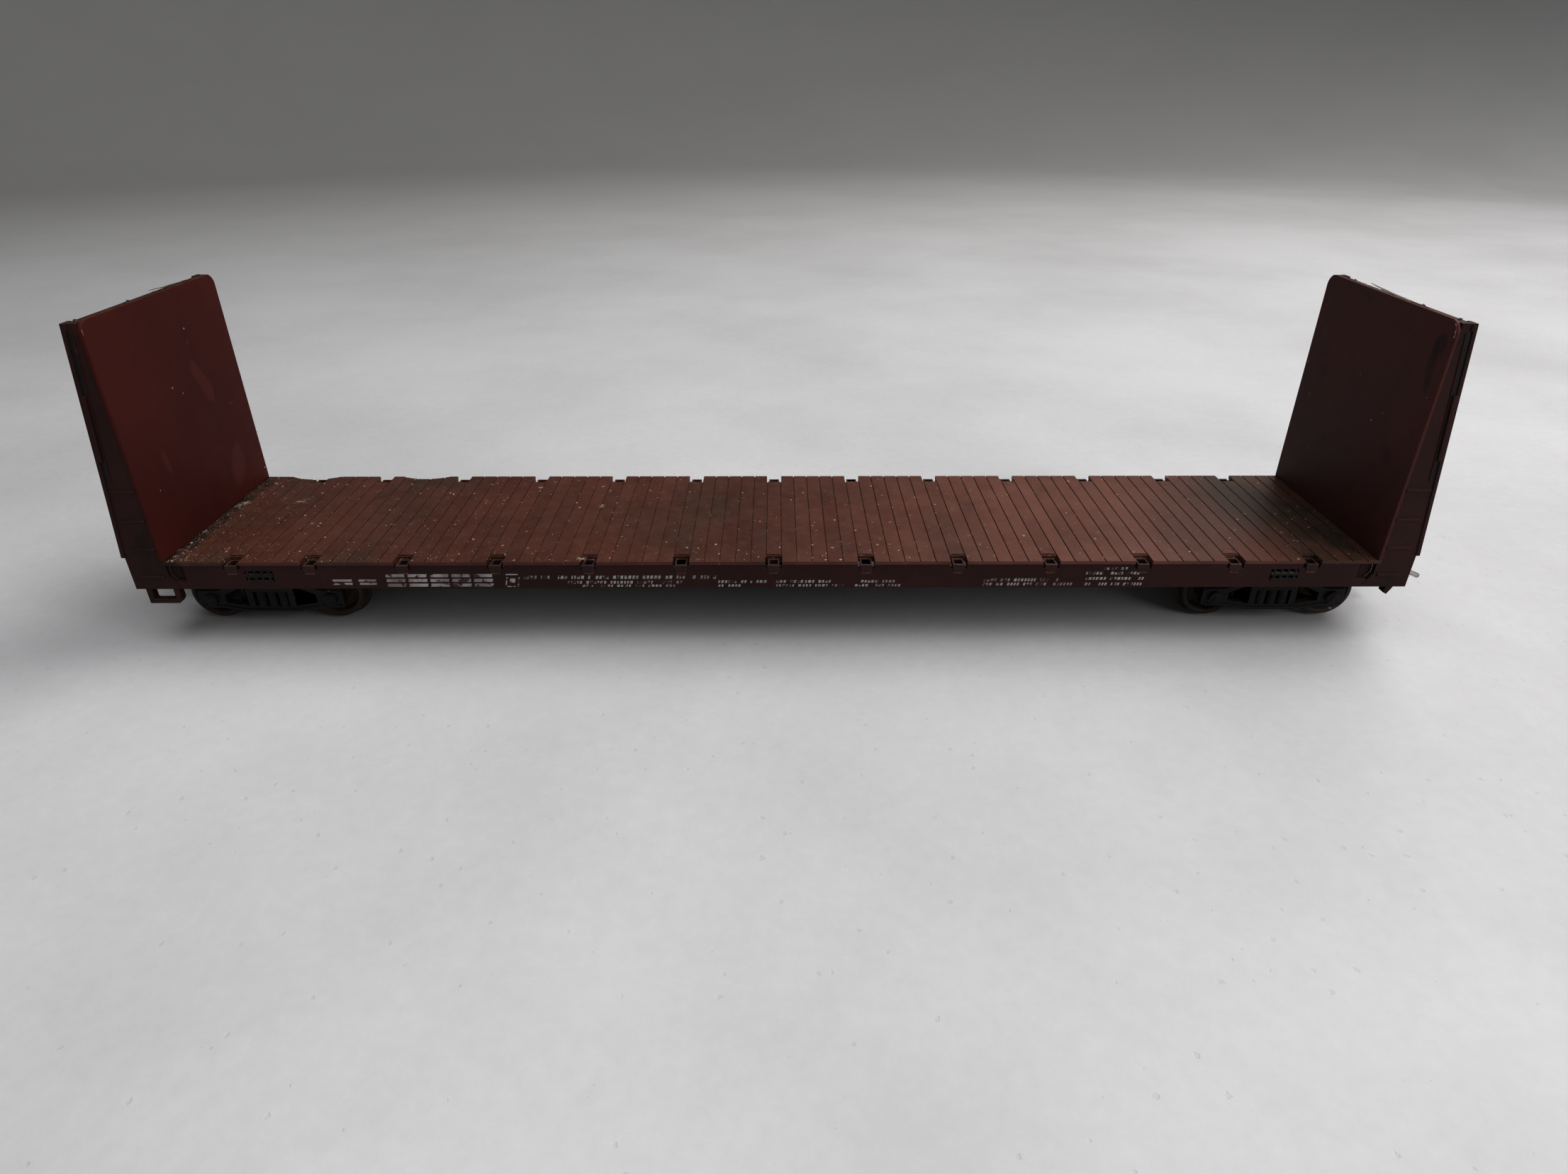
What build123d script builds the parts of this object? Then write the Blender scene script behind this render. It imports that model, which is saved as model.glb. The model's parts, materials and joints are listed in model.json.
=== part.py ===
"""HO scale bulkhead flat car: plank deck between two ribbed bulkheads, on two swivelling trucks.

X runs along the car, Y across it, Z up. The origin is midway between the trucks, on the plane that
the wheel flanges touch. The near side of the car is -Y, its left end is -X. All sizes are in mm.
"""

from math import cos, radians, sin
import os

from build123d import *

os.makedirs("parts", exist_ok=True)

# ---- deck and sills ----
DECK_TOP = 15.85            # height of the plank faces
DECK_WIDTH = 36.8
INNER_HALF = 99.5           # from the middle to each bulkhead's inner face
SHEET_THICK = 0.6           # facing sheet of a bulkhead
LIP_THICK = 0.6             # edge of the deck that shows over the sill
BOARD_THICK = 1.3           # deck between the sills
BOARD_HALF_WIDTH = 17.2
TONGUE_END = 104.9          # the board runs on under the bulkhead
PLANK_PITCH = 2.541
PLANK_GROOVES = 78
GROOVE_WIDTH = 0.18
GROOVE_DEPTH = 0.22
BROKEN_ENDS = ((-90.1, 9.6, 1.45), (-68.4, 9.2, 1.3))    # middle, length and depth of each break
SILL_BOTTOM = 10.85
SILL_FACE = 18.2            # outer face of the sill, just under the lip
SILL_WEB = 1.0
SILL_FLANGE_INNER = 15.4
SILL_FLANGE_THICK = 0.65
SILL_END_TOP = 99.5         # the sill ends in a slope that meets the side plate
SILL_END_FOOT = 98.2
SLOPE_TOP = 13.35
SLOPE_FOOT = 11.35
SLOPE_GAP = 0.06            # between the sill's sloping end and the side plate

# ---- stake pockets, by plank from the middle ----
POCKET_PLANKS = (0, 6, 12, 18, 24, 30, 35)
NOTCH_WIDTH = 2.8
NOTCH_DEPTH = 2.6
LEDGE_WIDTH = 0.2           # a step just under the planks runs along each notch's back
LEDGE_DROP = 0.25
POCKET_SIZE = (1.9, 2.4, 0.85)
POCKET_HOLE = (1.35, 1.6)
POCKET_TOP = 15.2
POCKET_FACE = 18.38
GUSSET_FOOT = 13.5
GUSSET_INSET = 0.15         # the gusset is this much narrower than its pocket at each side

# ---- bulkheads ----
BULKHEAD_TOP = 54.7
FRAME_TOP = 54.4
PLATE_THICK = 0.9
PLATE_OUTER_FOOT = 105.6    # outer edge of the side plate below the deck
PLATE_OUTER_TOP = 101.8
PLATE_STEP = 16.7           # the sloping outer flange starts here
FLANGE_THICK = 0.45
FLANGE_ROOT = 0.12          # the flange bites this far into its plate
FLANGE_HALF = 0.95
RIB_TOP = 53.2
TOP_RAIL = 54.3
TOP_OPENINGS = ((-7.9, -1.2), (1.2, 7.9), (9.9, 15.8))
RIB_PLACES = (-8.7, 0.0, 8.7)
RIB_THICK = 0.9
BACK_WEB = 0.5
RAIL_HEIGHTS = (28.5, 41.0)
RUNG_HEIGHTS = (13.2, 18.2, 23.25, 28.35)
RUNG_SPAN = (100.15, 104.05)

# ---- trucks ----
TRUCK_CENTRE = 87.6
AXLE_SPACING = 20.6
AXLE_HEIGHT = 5.45
TREAD_RADIUS = 4.8
FLANGE_RADIUS = 5.45
BACK_TO_BACK = 14.4
WHEEL_WIDTH = 2.8
AXLE_RADIUS = 1.2
AXLE_HALF = 11.8
POINT_RADIUS = 0.15
JOURNAL_START = 10.2        # where the axle starts to taper to its point
BEARING_GAP = 0.06
FRAME_INNER = 10.6          # inner face of a truck side frame
FRAME_OUTER = 12.1
CAP_OUTER = 12.7
TRUCK_BOLSTER_TOP = 9.2
BOWL_TOP = 9.6
BOWL_RADIUS = 3.0
KINGPIN_RADIUS = 1.1
KINGPIN_GAP = 0.06
KINGPIN_HEAD_RADIUS = 2.3

# ---- couplers and draft gear ----
COUPLER_HEIGHT = 10.6       # mid height of the shank
SHANK_PIVOT = 100.6
SHANK_THICK = 1.3
SHANK_HALF = 0.95
BOX_BACK = 97.4
BOX_FRONT = 106.2
BOX_HALF = 3.5
BOX_WALL = 0.75
BOX_FLOOR = 9.75            # top of the lid
BOX_ROOF = 11.45            # underside of the box's top
BOX_TOP = 12.1
LID_THICK = 0.6
BOSS_RADIUS = 1.2
BOSS_GAP = 0.06
DRAFT_SCREW_RADIUS = 0.7
KNUCKLE_PIVOT = (109.7, 1.75)
KNUCKLE_PIN_RADIUS = 0.35
KNUCKLE_GAP = 0.05

BOARD_BOTTOM = DECK_TOP - BOARD_THICK
LIP_BOTTOM = DECK_TOP - LIP_THICK
SHEET_BACK = INNER_HALF + SHEET_THICK
ENDS = ((-1, "left"), (1, "right"))
SIDES = ((-1, "near"), (1, "far"))
POCKET_OFFSETS = sorted({sign * count * PLANK_PITCH for count in POCKET_PLANKS for sign in (-1, 1)})


def lengthwise(end, across=0.0):
    """Upright plane along the car: local x runs out to this end, local y runs up."""
    return Plane(origin=(0, across, 0), x_dir=(end, 0, 0), z_dir=(0, -end, 0))


def crosswise(end, along):
    """Upright plane across the car: local y runs up and the normal points out to this end."""
    return Plane(origin=(end * along, 0, 0), x_dir=(0, end, 0), z_dir=(end, 0, 0))


def level(end, height):
    """Level plane at this height: local x runs out to this end."""
    return Plane(origin=(0, 0, height), x_dir=(end, 0, 0), z_dir=(0, 0, 1))


def block(low, high, mode=Mode.ADD):
    """Add or cut a block between two corners of the open part."""
    with Locations(tuple((start + stop) / 2 for start, stop in zip(low, high))):
        Box(*(abs(stop - start) for start, stop in zip(low, high)), mode=mode)


def rod(start, stop, radius, mode=Mode.ADD):
    """Add or cut a round rod between two points of the open part."""
    axis = Vector(*stop) - Vector(*start)
    with Locations(Plane(origin=start, z_dir=axis).location):
        Cylinder(radius, axis.length, align=(Align.CENTER, Align.CENTER, Align.MIN), mode=mode)


# ---- plank deck: one moulding, with a groove between planks and a notch at each stake pocket ----
with BuildPart() as deck:
    block((-SHEET_BACK, -DECK_WIDTH / 2, LIP_BOTTOM), (SHEET_BACK, DECK_WIDTH / 2, DECK_TOP))
    block((-TONGUE_END, -BOARD_HALF_WIDTH, BOARD_BOTTOM), (TONGUE_END, BOARD_HALF_WIDTH, LIP_BOTTOM))
    block((-TONGUE_END, -BOARD_HALF_WIDTH + 0.1, LIP_BOTTOM), (TONGUE_END, BOARD_HALF_WIDTH - 0.1, DECK_TOP))
    with Locations((0, 0, DECK_TOP)):
        with GridLocations(PLANK_PITCH, 1, PLANK_GROOVES, 1):
            Box(GROOVE_WIDTH, DECK_WIDTH, 2 * GROOVE_DEPTH, mode=Mode.SUBTRACT)
    with Locations(*[(x, side * DECK_WIDTH / 2, DECK_TOP) for x in POCKET_OFFSETS for side, _ in SIDES]):
        Box(NOTCH_WIDTH, 2 * NOTCH_DEPTH, 4 * BOARD_THICK, mode=Mode.SUBTRACT)
        Box(NOTCH_WIDTH, 2 * (NOTCH_DEPTH + LEDGE_WIDTH), 2 * LEDGE_DROP, mode=Mode.SUBTRACT)
    # plank ends broken back along the far edge at the left end, each break curved in plan
    for middle, length, depth in BROKEN_ENDS:
        bulge_radius = (length**2 / 4 + depth**2) / (2 * depth)
        with Locations((middle, DECK_WIDTH / 2 - depth + bulge_radius, DECK_TOP)):
            Cylinder(bulge_radius, 4 * BOARD_THICK, mode=Mode.SUBTRACT)
deck.part.label = "deck"
export_step(deck.part, "parts/deck.step")

# ---- side sills: a channel under each deck edge ----
POCKET_SEAT = POCKET_TOP - POCKET_SIZE[2]   # the web is cut down to here for each pocket
POCKET_CUT_INNER = 16.0
WINCH_SPAN = (82.4, 87.0)
WINCH_HEIGHTS = (12.15, 14.15)
WINCH_DEPTH = 0.7
RECESS_START = 96.8
RECESS_FOOT = 12.2
RECESS_DEPTH = 0.8
for side, side_name in SIDES:
    with BuildPart() as side_sill:
        face, web = side * SILL_FACE, side * (SILL_FACE - SILL_WEB)
        with BuildSketch(lengthwise(1, face)):
            with BuildLine():
                Polyline(
                    (-SILL_END_TOP, LIP_BOTTOM), (SILL_END_TOP, LIP_BOTTOM), (SILL_END_TOP, SLOPE_TOP),
                    (SILL_END_FOOT, SLOPE_FOOT), (SILL_END_FOOT, SILL_BOTTOM), (-SILL_END_FOOT, SILL_BOTTOM),
                    (-SILL_END_FOOT, SLOPE_FOOT), (-SILL_END_TOP, SLOPE_TOP), close=True,
                )
            make_face()
        extrude(amount=side * SILL_WEB)
        block((-SILL_END_FOOT, side * SILL_FLANGE_INNER, SILL_BOTTOM),
              (SILL_END_FOOT, web, SILL_BOTTOM + SILL_FLANGE_THICK))
        for x in POCKET_OFFSETS:
            block((x - NOTCH_WIDTH / 2, side * POCKET_CUT_INNER, POCKET_SEAT),
                  (x + NOTCH_WIDTH / 2, side * (SILL_FACE + 1), LIP_BOTTOM + 1), mode=Mode.SUBTRACT)
        for end, _ in ENDS:
            block((end * WINCH_SPAN[0], face - side * WINCH_DEPTH, WINCH_HEIGHTS[0]),
                  (end * WINCH_SPAN[1], face + side, WINCH_HEIGHTS[1]), mode=Mode.SUBTRACT)
            # dark hollow beside the side plate: its floor slopes in from the sill's face
            with BuildSketch(level(end, RECESS_FOOT)):
                with BuildLine():
                    Polyline(
                        (RECESS_START, side * end * SILL_FACE), (SILL_END_TOP + 1, side * end * SILL_FACE),
                        (SILL_END_TOP + 1, side * end * (SILL_FACE - RECESS_DEPTH)),
                        (RECESS_START + 0.9, side * end * (SILL_FACE - RECESS_DEPTH)), close=True,
                    )
                make_face()
            extrude(amount=LIP_BOTTOM - RECESS_FOOT, mode=Mode.SUBTRACT)
    side_sill.part.label = f"side_sill_{side_name}"
    export_step(side_sill.part, f"parts/side_sill_{side_name}.step")

# ---- stake pockets: a square tube in each notch, on a tapering gusset ----
for side, side_name in SIDES:
    with BuildPart() as stake_pockets:
        length, depth, height = POCKET_SIZE
        for x in POCKET_OFFSETS:
            outer = side * POCKET_FACE
            block((x - length / 2, outer - side * depth, POCKET_SEAT), (x + length / 2, outer, POCKET_TOP))
            with Locations((x, outer - side * depth / 2, POCKET_TOP)):
                Box(*POCKET_HOLE, 4 * height, mode=Mode.SUBTRACT)
            with BuildSketch(Plane.YZ.offset(x - length / 2 + GUSSET_INSET)):
                with BuildLine():
                    Polyline((side * SILL_FACE, POCKET_SEAT), (outer, POCKET_SEAT),
                             (side * SILL_FACE, GUSSET_FOOT), close=True)
                make_face()
            extrude(amount=length - 2 * GUSSET_INSET)
    stake_pockets.part.label = f"stake_pockets_{side_name}"
    export_step(stake_pockets.part, f"parts/stake_pockets_{side_name}.step")

# ---- winches for the tie-down cables: a ledge, a drum and upright bars in each sill recess ----
WINCH_BARS = 4
WINCH_BAR_WIDTH = 0.35
WINCH_BAR_PITCH = 1.15
WINCH_DRUM_RADIUS = 0.4
with BuildPart() as winches:
    floor = SILL_FACE - WINCH_DEPTH
    for end, _ in ENDS:
        for side, _ in SIDES:
            low, high = end * (WINCH_SPAN[0] + 0.1), end * (WINCH_SPAN[1] - 0.1)
            block((low, side * floor, WINCH_HEIGHTS[0]), (high, side * (SILL_FACE + 0.15), WINCH_HEIGHTS[0] + 0.3))
            for step in range(WINCH_BARS):
                bar = low + end * (WINCH_BAR_WIDTH + step * WINCH_BAR_PITCH)
                block((bar, side * floor, WINCH_HEIGHTS[0]),
                      (bar + end * WINCH_BAR_WIDTH, side * (SILL_FACE + 0.1), WINCH_HEIGHTS[1] - 0.1))
            middle = (WINCH_HEIGHTS[0] + WINCH_HEIGHTS[1]) / 2 + 0.1
            rod((low, side * (floor + 0.45), middle), (high, side * (floor + 0.45), middle), WINCH_DRUM_RADIUS)
winches.part.label = "winches"
export_step(winches.part, "parts/winches.step")

# ---- bulkheads: a facing sheet on a ribbed frame whose side plates run down beside the sills ----
for end, end_name in ENDS:
    with BuildPart() as bulkhead_sheet:
        with BuildSketch(crosswise(end, INNER_HALF)):
            with Locations((0, (DECK_TOP + BULKHEAD_TOP) / 2)):
                Rectangle(DECK_WIDTH, BULKHEAD_TOP - DECK_TOP)
        extrude(amount=SHEET_THICK)
        fillet(bulkhead_sheet.edges().filter_by(Axis.X).group_by(Axis.Z)[-1], radius=2.0)
    bulkhead_sheet.part.label = f"bulkhead_sheet_{end_name}"
    export_step(bulkhead_sheet.part, f"parts/bulkhead_sheet_{end_name}.step")

    with BuildPart() as bulkhead_frame:
        for side, _ in SIDES:
            with BuildSketch(lengthwise(end, side * (SILL_FACE - PLATE_THICK / 2))):
                with BuildLine():
                    Polyline(
                        (SHEET_BACK, FRAME_TOP), (PLATE_OUTER_TOP, FRAME_TOP), (PLATE_OUTER_FOOT, PLATE_STEP),
                        (PLATE_OUTER_FOOT, SILL_BOTTOM), (SILL_END_FOOT + SLOPE_GAP, SILL_BOTTOM),
                        (SILL_END_FOOT + SLOPE_GAP, SLOPE_FOOT - 0.04), (SILL_END_TOP + SLOPE_GAP, SLOPE_TOP - 0.04),
                        (SILL_END_TOP + SLOPE_GAP, LIP_BOTTOM), (SHEET_BACK, LIP_BOTTOM), close=True,
                    )
                make_face()
            extrude(amount=PLATE_THICK / 2, both=True)
            with BuildSketch(lengthwise(end, side * (SILL_FACE + 0.2 - FLANGE_HALF))):
                with BuildLine():
                    Polyline(
                        (PLATE_OUTER_TOP - FLANGE_ROOT, FRAME_TOP), (PLATE_OUTER_TOP + FLANGE_THICK, FRAME_TOP),
                        (PLATE_OUTER_FOOT + FLANGE_THICK, PLATE_STEP), (PLATE_OUTER_FOOT - FLANGE_ROOT, PLATE_STEP),
                        close=True,
                    )
                make_face()
            extrude(amount=FLANGE_HALF, both=True)
        for across in RIB_PLACES:
            with BuildSketch(lengthwise(end, across)):
                with BuildLine():
                    Polyline((SHEET_BACK, RIB_TOP), (PLATE_OUTER_TOP, RIB_TOP),
                             (PLATE_OUTER_FOOT, PLATE_STEP), (PLATE_OUTER_FOOT, DECK_TOP),
                             (SHEET_BACK, DECK_TOP), close=True)
                make_face()
            extrude(amount=RIB_THICK / 2, both=True)
            with BuildSketch(lengthwise(end, across)):
                with BuildLine():
                    Polyline((PLATE_OUTER_TOP - FLANGE_ROOT, RIB_TOP), (PLATE_OUTER_TOP + FLANGE_THICK, RIB_TOP),
                             (PLATE_OUTER_FOOT + FLANGE_THICK, PLATE_STEP),
                             (PLATE_OUTER_FOOT - FLANGE_ROOT, PLATE_STEP), close=True)
                make_face()
            extrude(amount=FLANGE_HALF, both=True)
        inner = SILL_FACE - PLATE_THICK
        block((end * SHEET_BACK, -inner, DECK_TOP), (end * (SHEET_BACK + BACK_WEB), inner, TOP_RAIL - 1.2))
        block((end * SHEET_BACK, -inner - 0.1, TOP_RAIL - 0.6), (end * PLATE_OUTER_TOP, inner + 0.1, TOP_RAIL))
        for start, stop in TOP_OPENINGS:
            block((end * (SHEET_BACK + 0.35), start, TOP_RAIL - 1), (end * (PLATE_OUTER_TOP - 0.35), stop, TOP_RAIL + 1),
                  mode=Mode.SUBTRACT)
        for height in RAIL_HEIGHTS:
            slope_x = PLATE_OUTER_FOOT + (PLATE_OUTER_TOP - PLATE_OUTER_FOOT) * (
                (height - PLATE_STEP) / (FRAME_TOP - PLATE_STEP))
            block((end * SHEET_BACK, -inner, height), (end * (slope_x - 1.0), inner, height + 0.7))
        # end sill under the deck, open in the middle for the draft box
        block((end * (TONGUE_END + 0.1), -inner, SILL_BOTTOM), (end * PLATE_OUTER_FOOT, inner, PLATE_STEP))
        block((end * TONGUE_END, -BOX_HALF - 0.3, SILL_BOTTOM - 1), (end * 107, BOX_HALF + 0.3, BOX_TOP + 0.3),
              mode=Mode.SUBTRACT)
    bulkhead_frame.part.label = f"bulkhead_frame_{end_name}"
    export_step(bulkhead_frame.part, f"parts/bulkhead_frame_{end_name}.step")

    with BuildPart() as ladder_rungs:
        for side, _ in SIDES:
            for height in RUNG_HEIGHTS:
                block((end * RUNG_SPAN[0], side * SILL_FACE, height - 0.3),
                      (end * RUNG_SPAN[1], side * (SILL_FACE + 0.25), height + 0.05))
                block((end * RUNG_SPAN[0], side * SILL_FACE, height + 0.05),
                      (end * RUNG_SPAN[1], side * (SILL_FACE + 0.1), height + 0.35))
    ladder_rungs.part.label = f"ladder_rungs_{end_name}"
    export_step(ladder_rungs.part, f"parts/ladder_rungs_{end_name}.step")

# ---- sill steps: a U under each corner; the one at the near right corner is broken to a stub ----
STEP_SPAN = (98.75, 104.15)
STEP_FOOT = 8.1
STEP_BAR = 0.9
STEP_DEPTH = 1.5
STEP_TREAD = 0.7
STUB_POINTS = ((103.7, SILL_BOTTOM), (102.9, 9.35), (102.2, 9.75), (102.4, SILL_BOTTOM))
with BuildPart() as sill_steps:
    for end, side in ((-1, -1), (-1, 1), (1, 1)):
        with BuildSketch(lengthwise(end, side * (SILL_FACE - STEP_DEPTH / 2))):
            with BuildLine():
                Polyline(
                    (STEP_SPAN[0], SILL_BOTTOM), (STEP_SPAN[0], STEP_FOOT + STEP_TREAD), (STEP_SPAN[0] + 0.5, STEP_FOOT),
                    (STEP_SPAN[1], STEP_FOOT), (STEP_SPAN[1], SILL_BOTTOM), (STEP_SPAN[1] - STEP_BAR, SILL_BOTTOM),
                    (STEP_SPAN[1] - STEP_BAR, STEP_FOOT + STEP_TREAD), (STEP_SPAN[0] + STEP_BAR, STEP_FOOT + STEP_TREAD),
                    (STEP_SPAN[0] + STEP_BAR, SILL_BOTTOM), close=True,
                )
            make_face()
        extrude(amount=STEP_DEPTH / 2, both=True)
    with BuildSketch(lengthwise(1, -(SILL_FACE - STEP_DEPTH / 2))):
        with BuildLine():
            Polyline(*STUB_POINTS, close=True)
        make_face()
    extrude(amount=STEP_DEPTH / 2, both=True)
sill_steps.part.label = "sill_steps"
export_step(sill_steps.part, "parts/sill_steps.step")

# ---- steel ballast under the deck board ----
WEIGHT_SIZE = (146.0, 26.0, 1.5)
WEIGHT_BOTTOM = BOARD_BOTTOM - WEIGHT_SIZE[2]
with BuildPart() as steel_weight:
    with Locations((0, 0, WEIGHT_BOTTOM + WEIGHT_SIZE[2] / 2)):
        Box(*WEIGHT_SIZE)
    fillet(steel_weight.edges().filter_by(Axis.Z), radius=1.0)
steel_weight.part.label = "steel_weight"
export_step(steel_weight.part, "parts/steel_weight.step")

# ---- underframe: fish-belly centre sill with crossbearers out to the side sills ----
CENTRE_HALF = 2.4
UNDERFRAME_END = 84.3
CENTRE_FOOT = 11.2          # foot of the centre sill outside its belly
BELLY_FOOT = 9.3
BELLY_FLAT_END = 52.0
BELLY_END = 66.0
BEARER_THICK = 0.9
BEARER_END = 17.1
BEARER_FOOT = 9.9
STRINGER_END = 74.0
STRINGER_FOOT = 12.2
BEARER_PLACES = (-62.0, -42.0, -21.0, 0.0, 21.0, 42.0, 62.0)
with BuildPart() as underframe:
    with BuildSketch(lengthwise(1)):
        with BuildLine():
            Polyline(
                (-UNDERFRAME_END, WEIGHT_BOTTOM), (UNDERFRAME_END, WEIGHT_BOTTOM), (UNDERFRAME_END, CENTRE_FOOT),
                (BELLY_END, CENTRE_FOOT), (BELLY_FLAT_END, BELLY_FOOT), (-BELLY_FLAT_END, BELLY_FOOT),
                (-BELLY_END, CENTRE_FOOT), (-UNDERFRAME_END, CENTRE_FOOT), close=True,
            )
        make_face()
    extrude(amount=CENTRE_HALF, both=True)
    for x in BEARER_PLACES:
        with BuildSketch(Plane.YZ.offset(x - BEARER_THICK / 2)):
            with BuildLine():
                Polyline(
                    (-BEARER_END, WEIGHT_BOTTOM), (BEARER_END, WEIGHT_BOTTOM), (BEARER_END, 12.0), (15.3, 11.6),
                    (CENTRE_HALF, BEARER_FOOT), (-CENTRE_HALF, BEARER_FOOT), (-15.3, 11.6), (-BEARER_END, 12.0),
                    close=True,
                )
            make_face()
        extrude(amount=BEARER_THICK)
    for across in (-8.6, 8.6):
        block((-STRINGER_END, across - 0.4, STRINGER_FOOT), (STRINGER_END, across + 0.4, WEIGHT_BOTTOM))
underframe.part.label = "underframe"
export_step(underframe.part, "parts/underframe.step")

# ---- brake gear under the frame; each barrel lies along X on its own (Y, Z) axis ----
CYLINDER_AXIS = (-10.2, 10.2)
CYLINDER_PARTS = ((-11.5, -3.5, 2.1), (-3.5, -2.7, 2.35), (-2.7, 2.4, 0.5))  # start, end, radius
RESERVOIR_AXIS = (11.2, 10.7)
RESERVOIR_PARTS = ((6.0, 17.0, 2.1), (5.4, 17.6, 1.5))
RESERVOIR_STRAPS = (8.5, 14.5)
with BuildPart() as brake_cylinder:
    for start, stop, radius in CYLINDER_PARTS:
        rod((start, *CYLINDER_AXIS), (stop, *CYLINDER_AXIS), radius)
    block((-9.6, -10.9, 11.8), (-5.4, -9.5, 12.3))
    block((-9.6, -12.2, 12.2), (-5.4, -9.05, WEIGHT_BOTTOM))
brake_cylinder.part.label = "brake_cylinder"
export_step(brake_cylinder.part, "parts/brake_cylinder.step")

with BuildPart() as air_reservoir:
    for start, stop, radius in RESERVOIR_PARTS:
        rod((start, *RESERVOIR_AXIS), (stop, *RESERVOIR_AXIS), radius)
    for x in RESERVOIR_STRAPS:
        block((x - 0.5, 9.1, 11.2), (x + 0.5, 13.0, WEIGHT_BOTTOM))
air_reservoir.part.label = "air_reservoir"
export_step(air_reservoir.part, "parts/air_reservoir.step")

with BuildPart() as control_valve:
    block((-19.0, 10.0, 9.9), (-16.0, 12.4, WEIGHT_BOTTOM))
    rod((-19.8, 11.2, 11.0), (-15.2, 11.2, 11.0), 0.9)
    rod((-17.5, 9.2, 11.4), (-17.5, 13.4, 11.4), 0.8)
control_valve.part.label = "control_valve"
export_step(control_valve.part, "parts/control_valve.step")

BRAKE_ROD_RADIUS = 0.35
BRAKE_ROD_Y = 5.2
BRAKE_ROD_Z = 8.6
BRAKE_ROD_END = 60.0
with BuildPart() as brake_rods:
    rod((-BRAKE_ROD_END, -BRAKE_ROD_Y, BRAKE_ROD_Z), (4.0, -BRAKE_ROD_Y, BRAKE_ROD_Z), BRAKE_ROD_RADIUS)
    rod((-2.0, BRAKE_ROD_Y, BRAKE_ROD_Z), (BRAKE_ROD_END, BRAKE_ROD_Y, BRAKE_ROD_Z), BRAKE_ROD_RADIUS)
    # the brake cylinder's lever, which joins both rods
    block((2.6, -11.0, 8.3), (3.6, 6.0, 8.9))
brake_rods.part.label = "brake_rods"
export_step(brake_rods.part, "parts/brake_rods.step")

# ---- body bolster and draft sill: one moulding at each end ----
BOLSTER_HALF = 2.4
BOSS_FOOT = BOWL_TOP + 0.05
BOSS_WIDE_RADIUS = 3.2
SCREW_DEPTH = 13.6
KINGPIN_HEAD = (5.7, 6.5)   # foot and top of the screw's head
for end, end_name in ENDS:
    centre = end * TRUCK_CENTRE
    with BuildPart() as body_bolster:
        with BuildSketch(crosswise(end, TRUCK_CENTRE - BOLSTER_HALF)):
            with BuildLine():
                Polyline((-15.2, BOARD_BOTTOM), (15.2, BOARD_BOTTOM), (15.2, 12.9), (4.4, 11.2), (-4.4, 11.2),
                         (-15.2, 12.9), close=True)
            make_face()
        extrude(amount=2 * BOLSTER_HALF)
        block((end * (UNDERFRAME_END + 0.05), -CENTRE_HALF, BOX_TOP), (end * TONGUE_END, CENTRE_HALF, BOARD_BOTTOM))
        rod((centre, 0, BOSS_FOOT), (centre, 0, 12.0), BOSS_WIDE_RADIUS)
        rod((centre, 0, BOSS_FOOT - 1), (centre, 0, SCREW_DEPTH), KINGPIN_RADIUS, mode=Mode.SUBTRACT)
        rod((end * SHANK_PIVOT, 0, BOX_TOP - 1), (end * SHANK_PIVOT, 0, SCREW_DEPTH), DRAFT_SCREW_RADIUS,
            mode=Mode.SUBTRACT)
    body_bolster.part.label = f"body_bolster_{end_name}"
    export_step(body_bolster.part, f"parts/body_bolster_{end_name}.step")

    with BuildPart() as kingpin_screw:
        rod((centre, 0, KINGPIN_HEAD[1]), (centre, 0, SCREW_DEPTH), KINGPIN_RADIUS)
        rod((centre, 0, KINGPIN_HEAD[0]), (centre, 0, KINGPIN_HEAD[1]), KINGPIN_HEAD_RADIUS)
        block((centre - 2.0, -0.3, 5.5), (centre + 2.0, 0.3, 6.1), mode=Mode.SUBTRACT)
    kingpin_screw.part.label = f"kingpin_screw_{end_name}"
    export_step(kingpin_screw.part, f"parts/kingpin_screw_{end_name}.step")

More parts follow.
